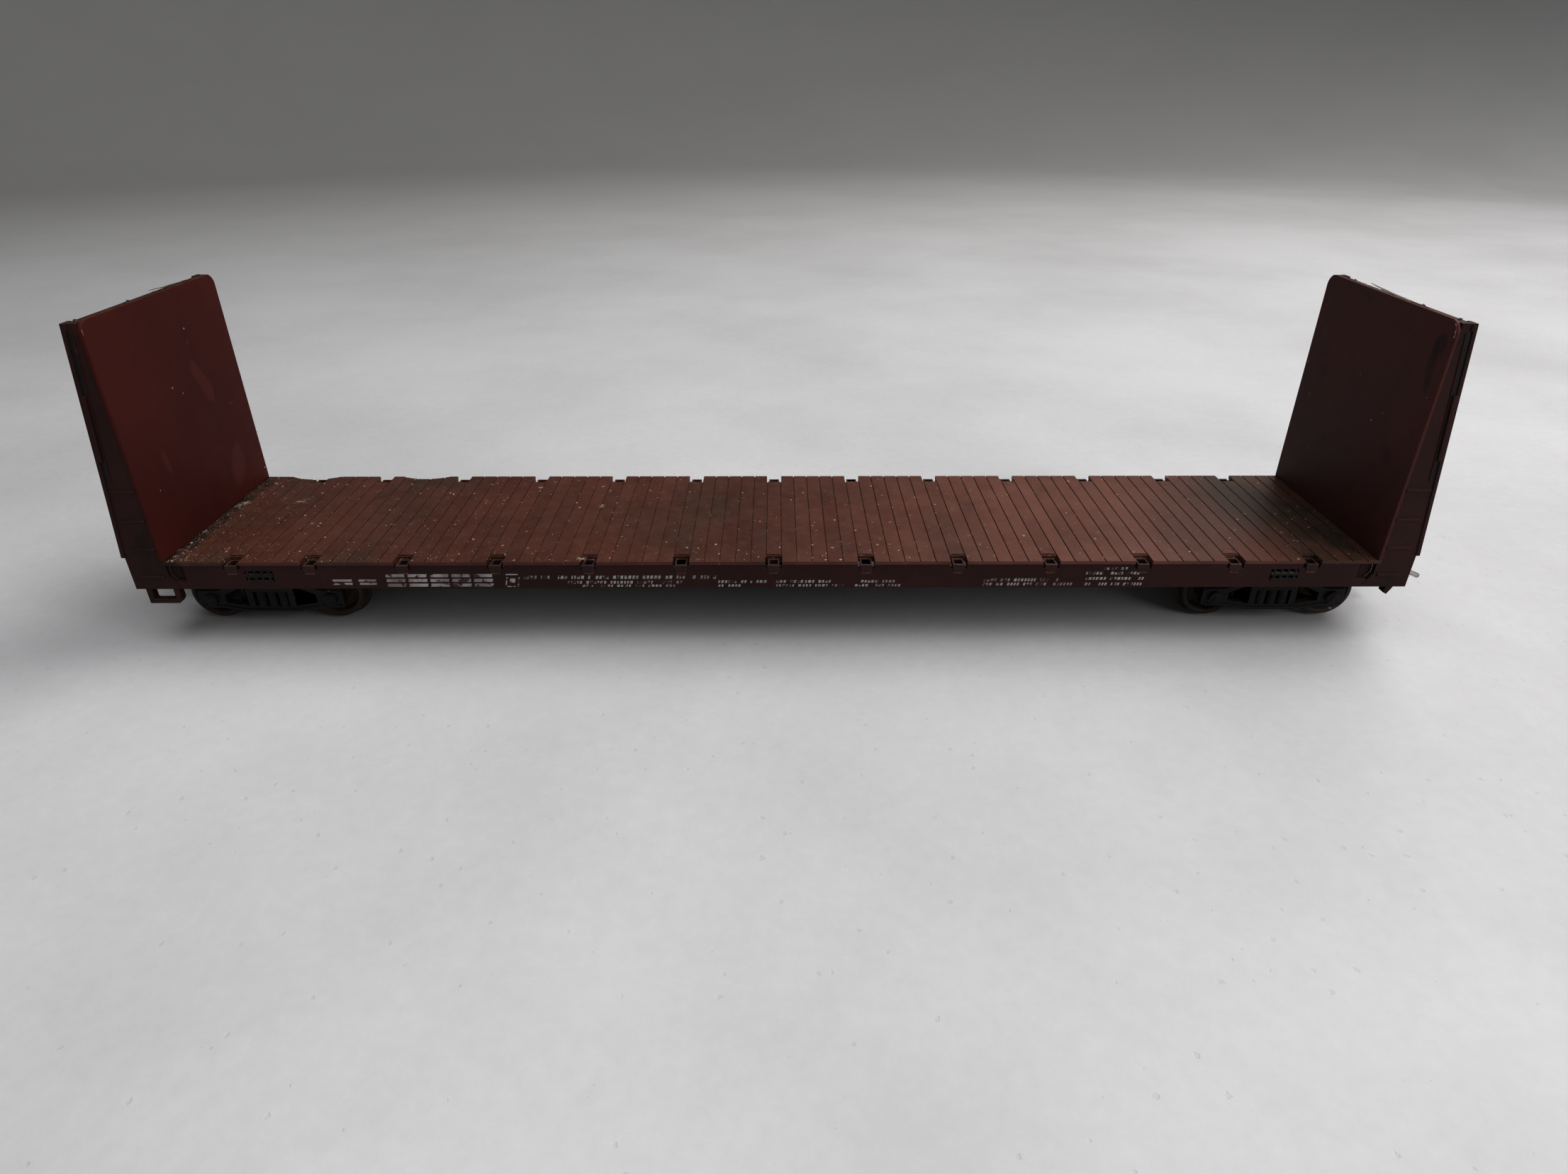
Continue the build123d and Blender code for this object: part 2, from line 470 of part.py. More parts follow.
# ---- draft gear: box, lid, screw and centring spring round each coupler shank ----
for end, end_name in ENDS:
    pivot = end * SHANK_PIVOT
    with BuildPart() as draft_box:
        block((end * BOX_BACK, -BOX_HALF, BOX_FLOOR), (end * BOX_FRONT, BOX_HALF, BOX_TOP))
        block((end * (BOX_BACK + BOX_WALL), -BOX_HALF + BOX_WALL, BOX_FLOOR - 1),
              (end * (BOX_FRONT + 1), BOX_HALF - BOX_WALL, BOX_ROOF), mode=Mode.SUBTRACT)
        rod((pivot, 0, BOX_FLOOR), (pivot, 0, BOX_ROOF + 0.1), BOSS_RADIUS)
        rod((pivot, 0, BOX_FLOOR - 1), (pivot, 0, BOX_TOP + 1), DRAFT_SCREW_RADIUS, mode=Mode.SUBTRACT)
    draft_box.part.label = f"draft_box_{end_name}"
    export_step(draft_box.part, f"parts/draft_box_{end_name}.step")

    with BuildPart() as draft_lid:
        block((end * BOX_BACK, -BOX_HALF, BOX_FLOOR - LID_THICK), (end * BOX_FRONT, BOX_HALF, BOX_FLOOR))
        rod((pivot, 0, BOX_FLOOR - 2), (pivot, 0, BOX_FLOOR + 1), DRAFT_SCREW_RADIUS, mode=Mode.SUBTRACT)
        fillet(draft_lid.edges().filter_by(Axis.Z).group_by(SortBy.LENGTH)[0].sort_by(Axis.X)[:2], radius=0.3)
    draft_lid.part.label = f"draft_lid_{end_name}"
    export_step(draft_lid.part, f"parts/draft_lid_{end_name}.step")

    with BuildPart() as draft_screw:
        rod((pivot, 0, BOX_FLOOR - LID_THICK), (pivot, 0, SCREW_DEPTH), DRAFT_SCREW_RADIUS)
        rod((pivot, 0, BOX_FLOOR - LID_THICK - 0.6), (pivot, 0, BOX_FLOOR - LID_THICK), 1.3)
        block((pivot - 1.2, -0.2, 8.4), (pivot + 1.2, 0.2, 8.85), mode=Mode.SUBTRACT)
    draft_screw.part.label = f"draft_screw_{end_name}"
    export_step(draft_screw.part, f"parts/draft_screw_{end_name}.step")

    with BuildPart() as centring_spring:
        leaf = BOX_HALF - BOX_WALL - 0.1
        block((end * 98.6, -leaf, BOX_FLOOR), (end * 105.6, leaf, BOX_FLOOR + 0.12))
        rod((pivot, 0, BOX_FLOOR - 1), (pivot, 0, BOX_FLOOR + 1), BOSS_RADIUS + 0.1, mode=Mode.SUBTRACT)
        for side, _ in SIDES:
            block((end * 102.6, side * leaf, BOX_FLOOR), (end * 105.4, side * (leaf - 0.12), BOX_ROOF - 0.2))
    centring_spring.part.label = f"centring_spring_{end_name}"
    export_step(centring_spring.part, f"parts/centring_spring_{end_name}.step")

# ---- couplers: shank and head, with a knuckle that swings on its pin, and a trip pin ----
SHANK_BOTTOM = COUPLER_HEIGHT - SHANK_THICK / 2
HEAD_BOTTOM = COUPLER_HEIGHT - 1.3
HEAD_TOP = COUPLER_HEIGHT + 1.3
LUG_THICK = 0.55
PIVOT_EYE_RADIUS = 2.0
SHANK_END = 108.2
KNUCKLE_SLOT_RADIUS = 1.35
KNUCKLE_EYE_RADIUS = 1.0
KNUCKLE_PIN_HEAD = (0.6, 0.2)   # radius and thickness
TRIP_PIN_PLACE = (108.9, -0.9)
TRIP_PIN_RADIUS = 0.3
TRIP_PIN_BEND = 2.3
TRIP_PIN_FOOT = 1.9
for end, end_name in ENDS:
    knuckle_x, knuckle_y = KNUCKLE_PIVOT
    trip_x, trip_y = TRIP_PIN_PLACE
    with BuildPart() as coupler:
        with BuildSketch(level(end, SHANK_BOTTOM)):
            with Locations((SHANK_PIVOT, 0)):
                Circle(PIVOT_EYE_RADIUS)
            with Locations(((SHANK_PIVOT + SHANK_END) / 2, 0)):
                Rectangle(SHANK_END - SHANK_PIVOT, 2 * SHANK_HALF)
            with Locations((SHANK_PIVOT, 0)):
                Circle(BOSS_RADIUS + BOSS_GAP, mode=Mode.SUBTRACT)
        extrude(amount=SHANK_THICK)
        with BuildSketch(level(end, HEAD_BOTTOM)):
            with BuildLine():
                Polyline((107.4, -1.0), (107.4, 1.0), (108.6, 2.2), (109.9, 2.5), (110.4, 1.9), (110.0, 1.0),
                         (110.2, -0.3), (111.0, -1.2), (112.7, -1.9), (112.7, -2.5), (111.0, -2.6),
                         (109.0, -2.1), close=True)
            make_face()
        extrude(amount=HEAD_TOP - HEAD_BOTTOM)
        # slot between the lugs for the knuckle, round about its pin
        with BuildSketch(level(end, HEAD_BOTTOM + LUG_THICK)):
            with Locations((knuckle_x, knuckle_y)):
                Circle(KNUCKLE_SLOT_RADIUS)
        extrude(amount=HEAD_TOP - HEAD_BOTTOM - 2 * LUG_THICK, mode=Mode.SUBTRACT)
        rod((end * knuckle_x, end * knuckle_y, HEAD_BOTTOM - 1), (end * knuckle_x, end * knuckle_y, HEAD_TOP + 1),
            KNUCKLE_PIN_RADIUS, mode=Mode.SUBTRACT)
        rod((end * trip_x, end * trip_y, HEAD_BOTTOM - 1), (end * trip_x, end * trip_y, HEAD_TOP + 1),
            TRIP_PIN_RADIUS, mode=Mode.SUBTRACT)
    coupler.part.label = f"coupler_{end_name}"
    export_step(coupler.part, f"parts/coupler_{end_name}.step")

    with BuildPart() as knuckle_pin:
        rod((end * knuckle_x, end * knuckle_y, HEAD_BOTTOM), (end * knuckle_x, end * knuckle_y, HEAD_TOP),
            KNUCKLE_PIN_RADIUS)
        head_radius, head_thick = KNUCKLE_PIN_HEAD
        rod((end * knuckle_x, end * knuckle_y, HEAD_TOP), (end * knuckle_x, end * knuckle_y, HEAD_TOP + head_thick),
            head_radius)
    knuckle_pin.part.label = f"knuckle_pin_{end_name}"
    export_step(knuckle_pin.part, f"parts/knuckle_pin_{end_name}.step")

    with BuildPart() as knuckle:
        with BuildSketch(level(end, HEAD_BOTTOM + LUG_THICK + 0.1)):
            with Locations((knuckle_x, knuckle_y)):
                Circle(KNUCKLE_EYE_RADIUS)
            with BuildLine():
                Polyline((109.8, 2.7), (111.4, 2.75), (112.6, 2.1), (113.0, 1.0), (112.9, -0.5), (112.2, -0.7),
                         (111.9, 0.6), (111.2, 1.2), (110.2, 1.3), close=True)
            make_face()
            with Locations((knuckle_x, knuckle_y)):
                Circle(KNUCKLE_PIN_RADIUS + KNUCKLE_GAP, mode=Mode.SUBTRACT)
        extrude(amount=HEAD_TOP - HEAD_BOTTOM - 2 * LUG_THICK - 0.2)
        # the nose is as tall as the head, in front of it
        with BuildSketch(level(end, HEAD_BOTTOM)):
            with BuildLine():
                Polyline((111.6, 2.6), (112.6, 2.1), (113.0, 1.0), (112.9, -0.5), (112.2, -0.7), (111.9, 0.6),
                         (111.5, 1.1), close=True)
            make_face()
        extrude(amount=HEAD_TOP - HEAD_BOTTOM)
    knuckle.part.label = f"knuckle_{end_name}"
    export_step(knuckle.part, f"parts/knuckle_{end_name}.step")

    with BuildPart() as trip_pin:
        with BuildLine(Plane(origin=(0, end * trip_y, 0), x_dir=(end, 0, 0), z_dir=(0, -end, 0))) as pin_path:
            upright = Line((trip_x, HEAD_TOP), (trip_x, TRIP_PIN_FOOT + TRIP_PIN_BEND))
            RadiusArc(upright @ 1, (trip_x + TRIP_PIN_BEND, TRIP_PIN_FOOT), -TRIP_PIN_BEND)
        with BuildSketch(level(end, HEAD_TOP)):
            with Locations(TRIP_PIN_PLACE):
                Circle(TRIP_PIN_RADIUS)
        sweep(path=pin_path.wire())
    trip_pin.part.label = f"trip_pin_{end_name}"
    export_step(trip_pin.part, f"parts/trip_pin_{end_name}.step")

# ---- uncoupling levers: a bent wire on two eyes along each end sill ----
LEVER_RADIUS = 0.42
LEVER_X = 107.0
LEVER_HEIGHT = 11.9
LEVER_EYES = (-12.0, -6.2)
LEVER_EYE_HALF = 0.4
LEVER_GRIP = (110.6, -13.4, 10.4)
LEVER_TIP = (107.6, -3.9, 13.6)
LEVER_INNER = -4.2          # where the lever turns up beside the coupler
for end, end_name in ENDS:
    with BuildPart() as cut_lever:
        with BuildLine() as lever_path:
            FilletPolyline(
                (end * LEVER_GRIP[0], end * LEVER_GRIP[1], LEVER_GRIP[2]),
                (end * LEVER_X, end * LEVER_GRIP[1], LEVER_HEIGHT), (end * LEVER_X, end * LEVER_INNER, LEVER_HEIGHT),
                (end * LEVER_TIP[0], end * LEVER_TIP[1], LEVER_TIP[2]), radius=0.8,
            )
        with BuildSketch(Plane(origin=lever_path.wire() @ 0, z_dir=lever_path.wire() % 0)):
            Circle(LEVER_RADIUS)
        sweep(path=lever_path.wire())
    cut_lever.part.label = f"cut_lever_{end_name}"
    export_step(cut_lever.part, f"parts/cut_lever_{end_name}.step")

    with BuildPart() as lever_eyes:
        for across in LEVER_EYES:
            block((end * PLATE_OUTER_FOOT, end * (across - LEVER_EYE_HALF), LEVER_HEIGHT - 0.8),
                  (end * (LEVER_X + 0.8), end * (across + LEVER_EYE_HALF), LEVER_HEIGHT + 0.8))
            rod((end * LEVER_X, end * (across - 1), LEVER_HEIGHT), (end * LEVER_X, end * (across + 1), LEVER_HEIGHT),
                LEVER_RADIUS, mode=Mode.SUBTRACT)
    lever_eyes.part.label = f"lever_eyes_{end_name}"
    export_step(lever_eyes.part, f"parts/lever_eyes_{end_name}.step")

# ---- hand brake on the left bulkhead's outer side ----
BRAKE_Y = 4.35
BRAKE_Z = 33.0
BRAKE_WHEEL_X = 107.7
BRAKE_WHEEL_RADIUS = 3.1
BRAKE_RIM_RADIUS = 0.3
BRAKE_HUB_RADIUS = 0.7
BRAKE_SPOKE_RADIUS = 0.22
BRAKE_SPOKES = 5
HOUSING_FACE = 106.3
HOUSING_BACK = 103.0
with BuildPart() as brake_housing:
    block((-HOUSING_BACK, BRAKE_Y - 1.9, BRAKE_Z - 2.2), (-HOUSING_FACE, BRAKE_Y + 1.9, BRAKE_Z + 2.0))
    fillet(brake_housing.edges().filter_by(Axis.X), radius=0.7)
    block((-SHEET_BACK - BACK_WEB, BRAKE_Y - 1.2, BRAKE_Z - 1.5), (-HOUSING_BACK, BRAKE_Y + 1.2, BRAKE_Z + 1.5))
brake_housing.part.label = "brake_housing"
export_step(brake_housing.part, "parts/brake_housing.step")

with BuildPart() as brake_wheel:
    with BuildSketch(Plane.XY) as rim_section:
        with Locations((-BRAKE_WHEEL_X, BRAKE_WHEEL_RADIUS)):
            Circle(BRAKE_RIM_RADIUS)
    revolve(axis=Axis.X)
    rod((-HOUSING_FACE, 0, 0), (-BRAKE_WHEEL_X - BRAKE_RIM_RADIUS, 0, 0), BRAKE_HUB_RADIUS)
    for spoke in range(BRAKE_SPOKES):
        turn = radians(90 + spoke * 360 / BRAKE_SPOKES)
        rod((-BRAKE_WHEEL_X, 0, 0),
            (-BRAKE_WHEEL_X, BRAKE_WHEEL_RADIUS * cos(turn), BRAKE_WHEEL_RADIUS * sin(turn)), BRAKE_SPOKE_RADIUS)
brake_wheel.part = brake_wheel.part.moved(Location((0, BRAKE_Y, BRAKE_Z)))
brake_wheel.part.label = "brake_wheel"
export_step(brake_wheel.part, "parts/brake_wheel.step")

# ---- trucks: side frames, bolster and spring plank in one moulding ----
SPRING_RADIUS = 0.8
SPRING_OFFSETS = (-1.9, 0.0, 1.9)
SPRING_SPAN = (3.4, 7.4)
CAP_RADIUS = 1.15
TRUCK_BOLSTER_HALF = 2.6
TRUCK_BOLSTER_FOOT = 6.6
SPRING_PLANK_HALF = 1.9
SPRING_PLANK_SPAN = (3.3, 3.9)
point_slope = (AXLE_RADIUS - POINT_RADIUS) / (AXLE_HALF - JOURNAL_START)
for end, end_name in ENDS:
    centre = end * TRUCK_CENTRE
    with BuildPart() as truck_frame:
        for side, _ in SIDES:
            middle = side * (FRAME_INNER + FRAME_OUTER) / 2
            with BuildSketch(Plane(origin=(centre, middle, 0), x_dir=(1, 0, 0), z_dir=(0, -1, 0))):
                with BuildLine():
                    Polyline(
                        (-4.4, 9.2), (4.4, 9.2), (8.7, 7.3), (12.3, 7.3), (12.5, 6.9), (12.5, 4.2), (12.1, 3.7),
                        (8.9, 3.7), (4.6, 3.0), (-4.6, 3.0), (-8.9, 3.7), (-12.1, 3.7), (-12.5, 4.2), (-12.5, 6.9),
                        (-12.3, 7.3), (-8.7, 7.3), close=True,
                    )
                make_face()
                for turn in (-1, 1):
                    with BuildLine():
                        Polyline((turn * 4.1, 8.0), (turn * 7.9, 6.3), (turn * 7.9, 4.7), (turn * 4.1, 4.1),
                                 close=True)
                    make_face(mode=Mode.SUBTRACT)
                with Locations((0, 5.4)):
                    Rectangle(6.0, 2.8, mode=Mode.SUBTRACT)
            extrude(amount=(FRAME_OUTER - FRAME_INNER) / 2, both=True)
            for offset in SPRING_OFFSETS:
                rod((centre + offset, middle, SPRING_SPAN[0]), (centre + offset, middle, SPRING_SPAN[1]), SPRING_RADIUS)
            for turn in (-1, 1):
                axle_x = centre + turn * AXLE_SPACING / 2
                rod((axle_x, side * FRAME_OUTER, AXLE_HEIGHT), (axle_x, side * CAP_OUTER, AXLE_HEIGHT), CAP_RADIUS)
                # conical seat that the axle's point runs in
                with BuildSketch(Plane(origin=(axle_x, 0, AXLE_HEIGHT), x_dir=(0, side, 0), z_dir=(1, 0, 0))):
                    with BuildLine():
                        Polyline((JOURNAL_START, 0), (AXLE_HALF + BEARING_GAP, 0),
                                 (AXLE_HALF + BEARING_GAP, POINT_RADIUS + BEARING_GAP),
                                 (JOURNAL_START, AXLE_RADIUS + BEARING_GAP + point_slope * BEARING_GAP),
                                 close=True)
                    make_face()
                revolve(axis=Axis((axle_x, 0, AXLE_HEIGHT), (0, 1, 0)), mode=Mode.SUBTRACT)
        block((centre - TRUCK_BOLSTER_HALF, -FRAME_INNER, TRUCK_BOLSTER_FOOT),
              (centre + TRUCK_BOLSTER_HALF, FRAME_INNER, TRUCK_BOLSTER_TOP))
        block((centre - SPRING_PLANK_HALF, -FRAME_INNER, SPRING_PLANK_SPAN[0]),
              (centre + SPRING_PLANK_HALF, FRAME_INNER, SPRING_PLANK_SPAN[1]))
        rod((centre, 0, TRUCK_BOLSTER_TOP), (centre, 0, BOWL_TOP), BOWL_RADIUS)
        rod((centre, 0, 6), (centre, 0, 10), KINGPIN_RADIUS + KINGPIN_GAP, mode=Mode.SUBTRACT)
    truck_frame.part.label = f"truck_frame_{end_name}"
    export_step(truck_frame.part, f"parts/truck_frame_{end_name}.step")

# ---- wheelsets: a pointed axle with two pressed-on wheels, four of them ----
TYRE_THICK = 0.95
HUB_RADIUS = 1.95
half_gap = BACK_TO_BACK / 2
wheelset_places = [end * TRUCK_CENTRE + turn * AXLE_SPACING / 2 for end, _ in ENDS for turn in (-1, 1)]
for number, axle_x in enumerate(wheelset_places, start=1):
    axle_line = Axis((axle_x, 0, AXLE_HEIGHT), (0, 1, 0))
    with BuildPart() as axle:
        with BuildSketch(Plane(origin=(axle_x, 0, AXLE_HEIGHT), x_dir=(0, 1, 0), z_dir=(1, 0, 0))):
            with BuildLine():
                Polyline((-AXLE_HALF, 0), (-AXLE_HALF, POINT_RADIUS), (-JOURNAL_START, AXLE_RADIUS),
                         (JOURNAL_START, AXLE_RADIUS), (AXLE_HALF, POINT_RADIUS), (AXLE_HALF, 0), close=True)
            make_face()
        revolve(axis=axle_line)
    axle.part.label = f"axle_{number}"
    export_step(axle.part, f"parts/axle_{number}.step")

    with BuildPart() as wheels:
        for side, _ in SIDES:
            with BuildSketch(Plane(origin=(axle_x, 0, AXLE_HEIGHT), x_dir=(0, side, 0), z_dir=(side, 0, 0))):
                with BuildLine():
                    Polyline(
                        (half_gap, AXLE_RADIUS), (half_gap, HUB_RADIUS), (half_gap + 0.55, HUB_RADIUS + 0.2),
                        (half_gap + 0.35, TREAD_RADIUS - TYRE_THICK), (half_gap, TREAD_RADIUS - TYRE_THICK + 0.1),
                        (half_gap, FLANGE_RADIUS - 0.35), (half_gap + 0.2, FLANGE_RADIUS),
                        (half_gap + 0.45, FLANGE_RADIUS - 0.05), (half_gap + 0.85, TREAD_RADIUS),
                        (half_gap + WHEEL_WIDTH - 0.2, TREAD_RADIUS - 0.08),
                        (half_gap + WHEEL_WIDTH, TREAD_RADIUS - 0.25),
                        (half_gap + WHEEL_WIDTH, TREAD_RADIUS - TYRE_THICK),
                        (half_gap + 1.15, TREAD_RADIUS - TYRE_THICK - 0.1), (half_gap + 1.45, HUB_RADIUS + 0.1),
                        (half_gap + WHEEL_WIDTH - 0.3, HUB_RADIUS - 0.2), (half_gap + WHEEL_WIDTH - 0.1, AXLE_RADIUS),
                        close=True,
                    )
                make_face()
            revolve(axis=axle_line)
    wheels.part.label = f"wheels_{number}"
    export_step(wheels.part, f"parts/wheels_{number}.step")
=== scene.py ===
"""Looks of an HO scale bulkhead flat car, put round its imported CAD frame.

Shapes are worked out in millimetres in the CAD model's frame: X runs along the car, Y away from
its near side, and Z up from the plane that the wheel flanges touch. They become metres as a mesh
is made.
"""

import json
import logging
import math
from dataclasses import dataclass
from enum import Enum

import bmesh
import bpy
import numpy as np
from mathutils import Matrix, Vector

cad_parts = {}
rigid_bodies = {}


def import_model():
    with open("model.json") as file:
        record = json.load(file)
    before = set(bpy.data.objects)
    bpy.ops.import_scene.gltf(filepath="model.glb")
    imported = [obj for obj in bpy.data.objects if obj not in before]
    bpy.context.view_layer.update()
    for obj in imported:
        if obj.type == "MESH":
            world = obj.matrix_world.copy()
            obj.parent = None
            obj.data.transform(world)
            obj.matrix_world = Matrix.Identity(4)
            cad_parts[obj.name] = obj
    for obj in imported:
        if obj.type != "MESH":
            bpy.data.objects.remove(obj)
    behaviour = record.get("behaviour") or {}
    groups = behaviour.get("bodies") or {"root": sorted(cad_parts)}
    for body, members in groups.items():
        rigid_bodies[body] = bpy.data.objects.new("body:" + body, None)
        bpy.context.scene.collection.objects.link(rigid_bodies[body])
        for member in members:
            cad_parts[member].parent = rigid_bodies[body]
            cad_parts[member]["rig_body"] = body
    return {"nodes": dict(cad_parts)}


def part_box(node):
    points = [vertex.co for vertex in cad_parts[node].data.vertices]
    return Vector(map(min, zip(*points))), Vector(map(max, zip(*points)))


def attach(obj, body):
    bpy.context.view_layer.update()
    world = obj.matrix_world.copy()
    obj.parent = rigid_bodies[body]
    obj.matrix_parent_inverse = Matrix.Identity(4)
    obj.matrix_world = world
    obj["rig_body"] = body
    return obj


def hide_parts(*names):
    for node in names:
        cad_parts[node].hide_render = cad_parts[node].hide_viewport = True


LOG = logging.getLogger("flat_car")
MM = 0.001
SEED = 1976
WELD = 2e-7  # points nearer than this, in metres, become one
CREASE = 32.0  # edges sharper than this, in degrees, stay crisp
PLANK_PITCH = 2.541  # from one groove of the deck to the next, in millimetres

Array = np.ndarray
Colour = tuple[float, float, float]
Object = bpy.types.Object
Material = bpy.types.Material
Socket = bpy.types.NodeSocket


class End(Enum):
    """Which end of the car, by the sign of X."""

    LEFT = -1
    RIGHT = 1

    @property
    def word(self) -> str:
        """The end's name as node names use it."""
        return self.name.lower()


class Side(Enum):
    """Which side of the car, by the sign of Y."""

    NEAR = -1
    FAR = 1

    @property
    def word(self) -> str:
        """The side's name as node names use it."""
        return self.name.lower()


class Slot(Enum):
    """The record's material slots."""

    DECK = "deck_plastic"
    BODY = "body_plastic"
    SHEET = "sheet_plastic"
    BLACK = "black_plastic"
    COUPLER = "coupler_plastic"
    WHEEL = "wheel_plastic"
    STEEL = "steel"
    BRONZE = "bronze"


# ---------------------------------------------------------------- surfaces


def unit(vectors: Array) -> Array:
    """Vectors scaled to a length of one."""
    return vectors / np.maximum(np.linalg.norm(vectors, axis=-1, keepdims=True), 1e-12)


def turned(sides: int) -> Array:
    """Cosines and sines of equal steps round a circle, one row for each step."""
    angle = np.linspace(0, 2 * np.pi, sides, endpoint=False)
    return np.stack([np.cos(angle), np.sin(angle)], axis=-1)


def rounded(corners: Array, radius: float, steps: int = 4, closed: bool = False) -> Array:
    """Rounds the corners of a polyline.

    Round corner p, from a to b, both a reach of radius away along the two runs, the line follows
    (1-t)^2 a + 2t(1-t) p + t^2 b.

    Args:
        corners: points, one row each, in two or three dimensions.
        radius: how far from its corner each curve starts, at most half of a run.
        steps: points along each curve.
        closed: whether the last point joins the first.

    Returns:
        The points of the rounded line.
    """
    corners = np.asarray(corners, float)
    back, ahead = np.roll(corners, 1, 0) - corners, np.roll(corners, -1, 0) - corners
    runs = [np.linalg.norm(side, axis=1, keepdims=True) for side in (back, ahead)]
    reach = np.minimum(radius, np.minimum(*runs) / 2)
    first, last = corners + unit(back) * reach, corners + unit(ahead) * reach
    t = np.linspace(0, 1, steps)[None, :, None]
    ends = (1 - t) ** 2 * first[:, None] + t**2 * last[:, None]
    curve = ends + 2 * t * (1 - t) * corners[:, None]
    if closed:
        return curve.reshape(-1, corners.shape[1])
    return np.concatenate([corners[:1], curve[1:-1].reshape(-1, corners.shape[1]), corners[-1:]])


def carried(outline: Array, path: Array, up: Array, scale: Array | float = 1.0) -> Array:
    """Carries an outline along a path.

    At each point of the path with tangent t, side = up x t and lift = t x side, and the outline's
    two numbers are multiples of side and lift.

    Args:
        outline: points round the section, as (side, lift) pairs.
        path: points of the centre line.
        up: direction that lift keeps nearest to, one vector or one for each point.
        scale: size of the section, one number or one for each point.

    Returns:
        A grid of points, one row for each point of the path.
    """
    path = np.asarray(path, float)
    tangent = unit(np.gradient(path, axis=0))
    side = unit(np.cross(np.broadcast_to(np.asarray(up, float), path.shape), tangent))
    lift = np.cross(tangent, side)
    size = np.broadcast_to(scale, len(path))[:, None, None]
    ring = outline[None, :, :1] * side[:, None] + outline[None, :, 1:] * lift[:, None]
    return path[:, None] + size * ring


def tube(path: Array, radius: Array | float, up: Array, sides: int = 12) -> Array:
    """A circle of this radius carried along a path."""
    return carried(turned(sides), path, up, radius)


def lathed(profile: Array, centre: Array, axis: Array, sides: int = 48) -> Array:
    """Turns a profile about an axis.

    A point is centre + along * axis + radius * (cos u * e1 + sin u * e2), with e1 and e2 square to
    the axis.

    Args:
        profile: (radius, along) pairs.
        centre: where the axis starts.
        axis: its direction, of length one.
        sides: steps round the axis.

    Returns:
        A grid of points, one row for each pair of the profile.
    """
    profile, axis = np.asarray(profile, float), np.asarray(axis, float)
    helper = np.array([0.0, 0.0, 1.0]) if abs(axis[2]) < 0.9 else np.array([1.0, 0.0, 0.0])
    first = unit(np.cross(helper, axis))
    second = np.cross(axis, first)
    ring = turned(sides) @ np.stack([first, second])
    rows = profile[:, 1, None, None] * axis + profile[:, 0, None, None] * ring
    return np.asarray(centre, float) + rows


def rounded_bar(
    start: Array, stop: Array, half: tuple[float, float], radius: float, up: Array
) -> Array:
    """A straight bar of rectangular section with every edge rounded.

    The section is a core rectangle of half - radius plus r(s) * (cos a, sin a) at its corners. Near
    an end r(s) = radius * sin f at a depth of radius * (1 - cos f), so the end closes as a quarter
    round.

    Args:
        start: middle of the first end.
        stop: middle of the last end.
        half: half sizes of the section across and along up.
        radius: radius of the rounding, under both half sizes.
        up: direction of the section's second half size.

    Returns:
        A grid of points, one row for each station along the bar.
    """
    start, stop = np.asarray(start, float), np.asarray(stop, float)
    along = unit(stop - start)
    side = unit(np.cross(np.asarray(up, float), along))
    lift = np.cross(along, side)
    step = np.linspace(0, np.pi / 2, 3)
    corner = np.array([[1, 1], [-1, 1], [-1, -1], [1, -1]])
    angle = step[None] + (np.arange(4) * np.pi / 2)[:, None]
    core = np.repeat(corner * (np.array(half) - radius), len(step), axis=0)
    ring = np.stack([np.cos(angle), np.sin(angle)], axis=-1).reshape(-1, 2)
    swell = np.concatenate([np.sin(step), np.sin(step)[::-1]]) * radius
    depth = radius * (1 - np.cos(step))
    length = np.linalg.norm(stop - start)
    place = np.concatenate([depth, (length - depth)[::-1]])
    flat = core[None] + swell[:, None, None] * ring[None]
    return start + place[:, None, None] * along + flat[..., :1] * side + flat[..., 1:] * lift


def rounded_block(low: Array, high: Array, radius: float) -> Array:
    """A block between two corners, with every edge rounded, laid along its longest side.

    Args:
        low, high: the corners.
        radius: radius of the rounding, held under half of the shorter sides.

    Returns:
        A grid of points, one row for each station along the block.
    """
    low, high = np.minimum(low, high).astype(float), np.maximum(low, high).astype(float)
    size, middle = high - low, (low + high) / 2
    main = int(np.argmax(size))
    across, lift = [axis for axis in range(3) if axis != main]
    if (lift - across) % 3 != 1:
        across, lift = lift, across
    start, stop, up = middle.copy(), middle.copy(), np.zeros(3)
    start[main], stop[main], up[lift] = low[main], high[main], 1.0
    half = np.abs(np.cross(up, unit(stop - start))) @ size / 2, size[lift] / 2
    return rounded_bar(start, stop, half, min(radius, min(half) * 0.98), up)


def dome(
    centre: Array, axis: Array, radius: float, height: float, sides: int = 8, rings: int = 3
) -> Array:
    """A rivet or bolt head: radius * cos f out and height * sin f up."""
    angle = np.linspace(-0.2, np.pi / 2, rings)
    profile = np.stack([radius * np.cos(angle), height * np.sin(angle)], axis=-1)
    return lathed(profile, centre, axis, sides)


def grid_faces(rows: int, columns: int, first: int, wrap: bool) -> list[list[int]]:
    """Quads between the rows of a grid whose points are numbered along its rows from first.

    Args:
        rows, columns: size of the grid.
        first: number of its first point.
        wrap: whether the last column joins the first.

    Returns:
        Four point numbers for each quad.
    """
    row, column = np.meshgrid(np.arange(rows - 1), np.arange(columns - (not wrap)), indexing="ij")
    beside = (column + 1) % columns
    below = (row + 1) * columns
    quads = np.stack(
        [row * columns + column, row * columns + beside, below + beside, below + column], -1
    )
    return (quads.reshape(-1, 4) + first).tolist()


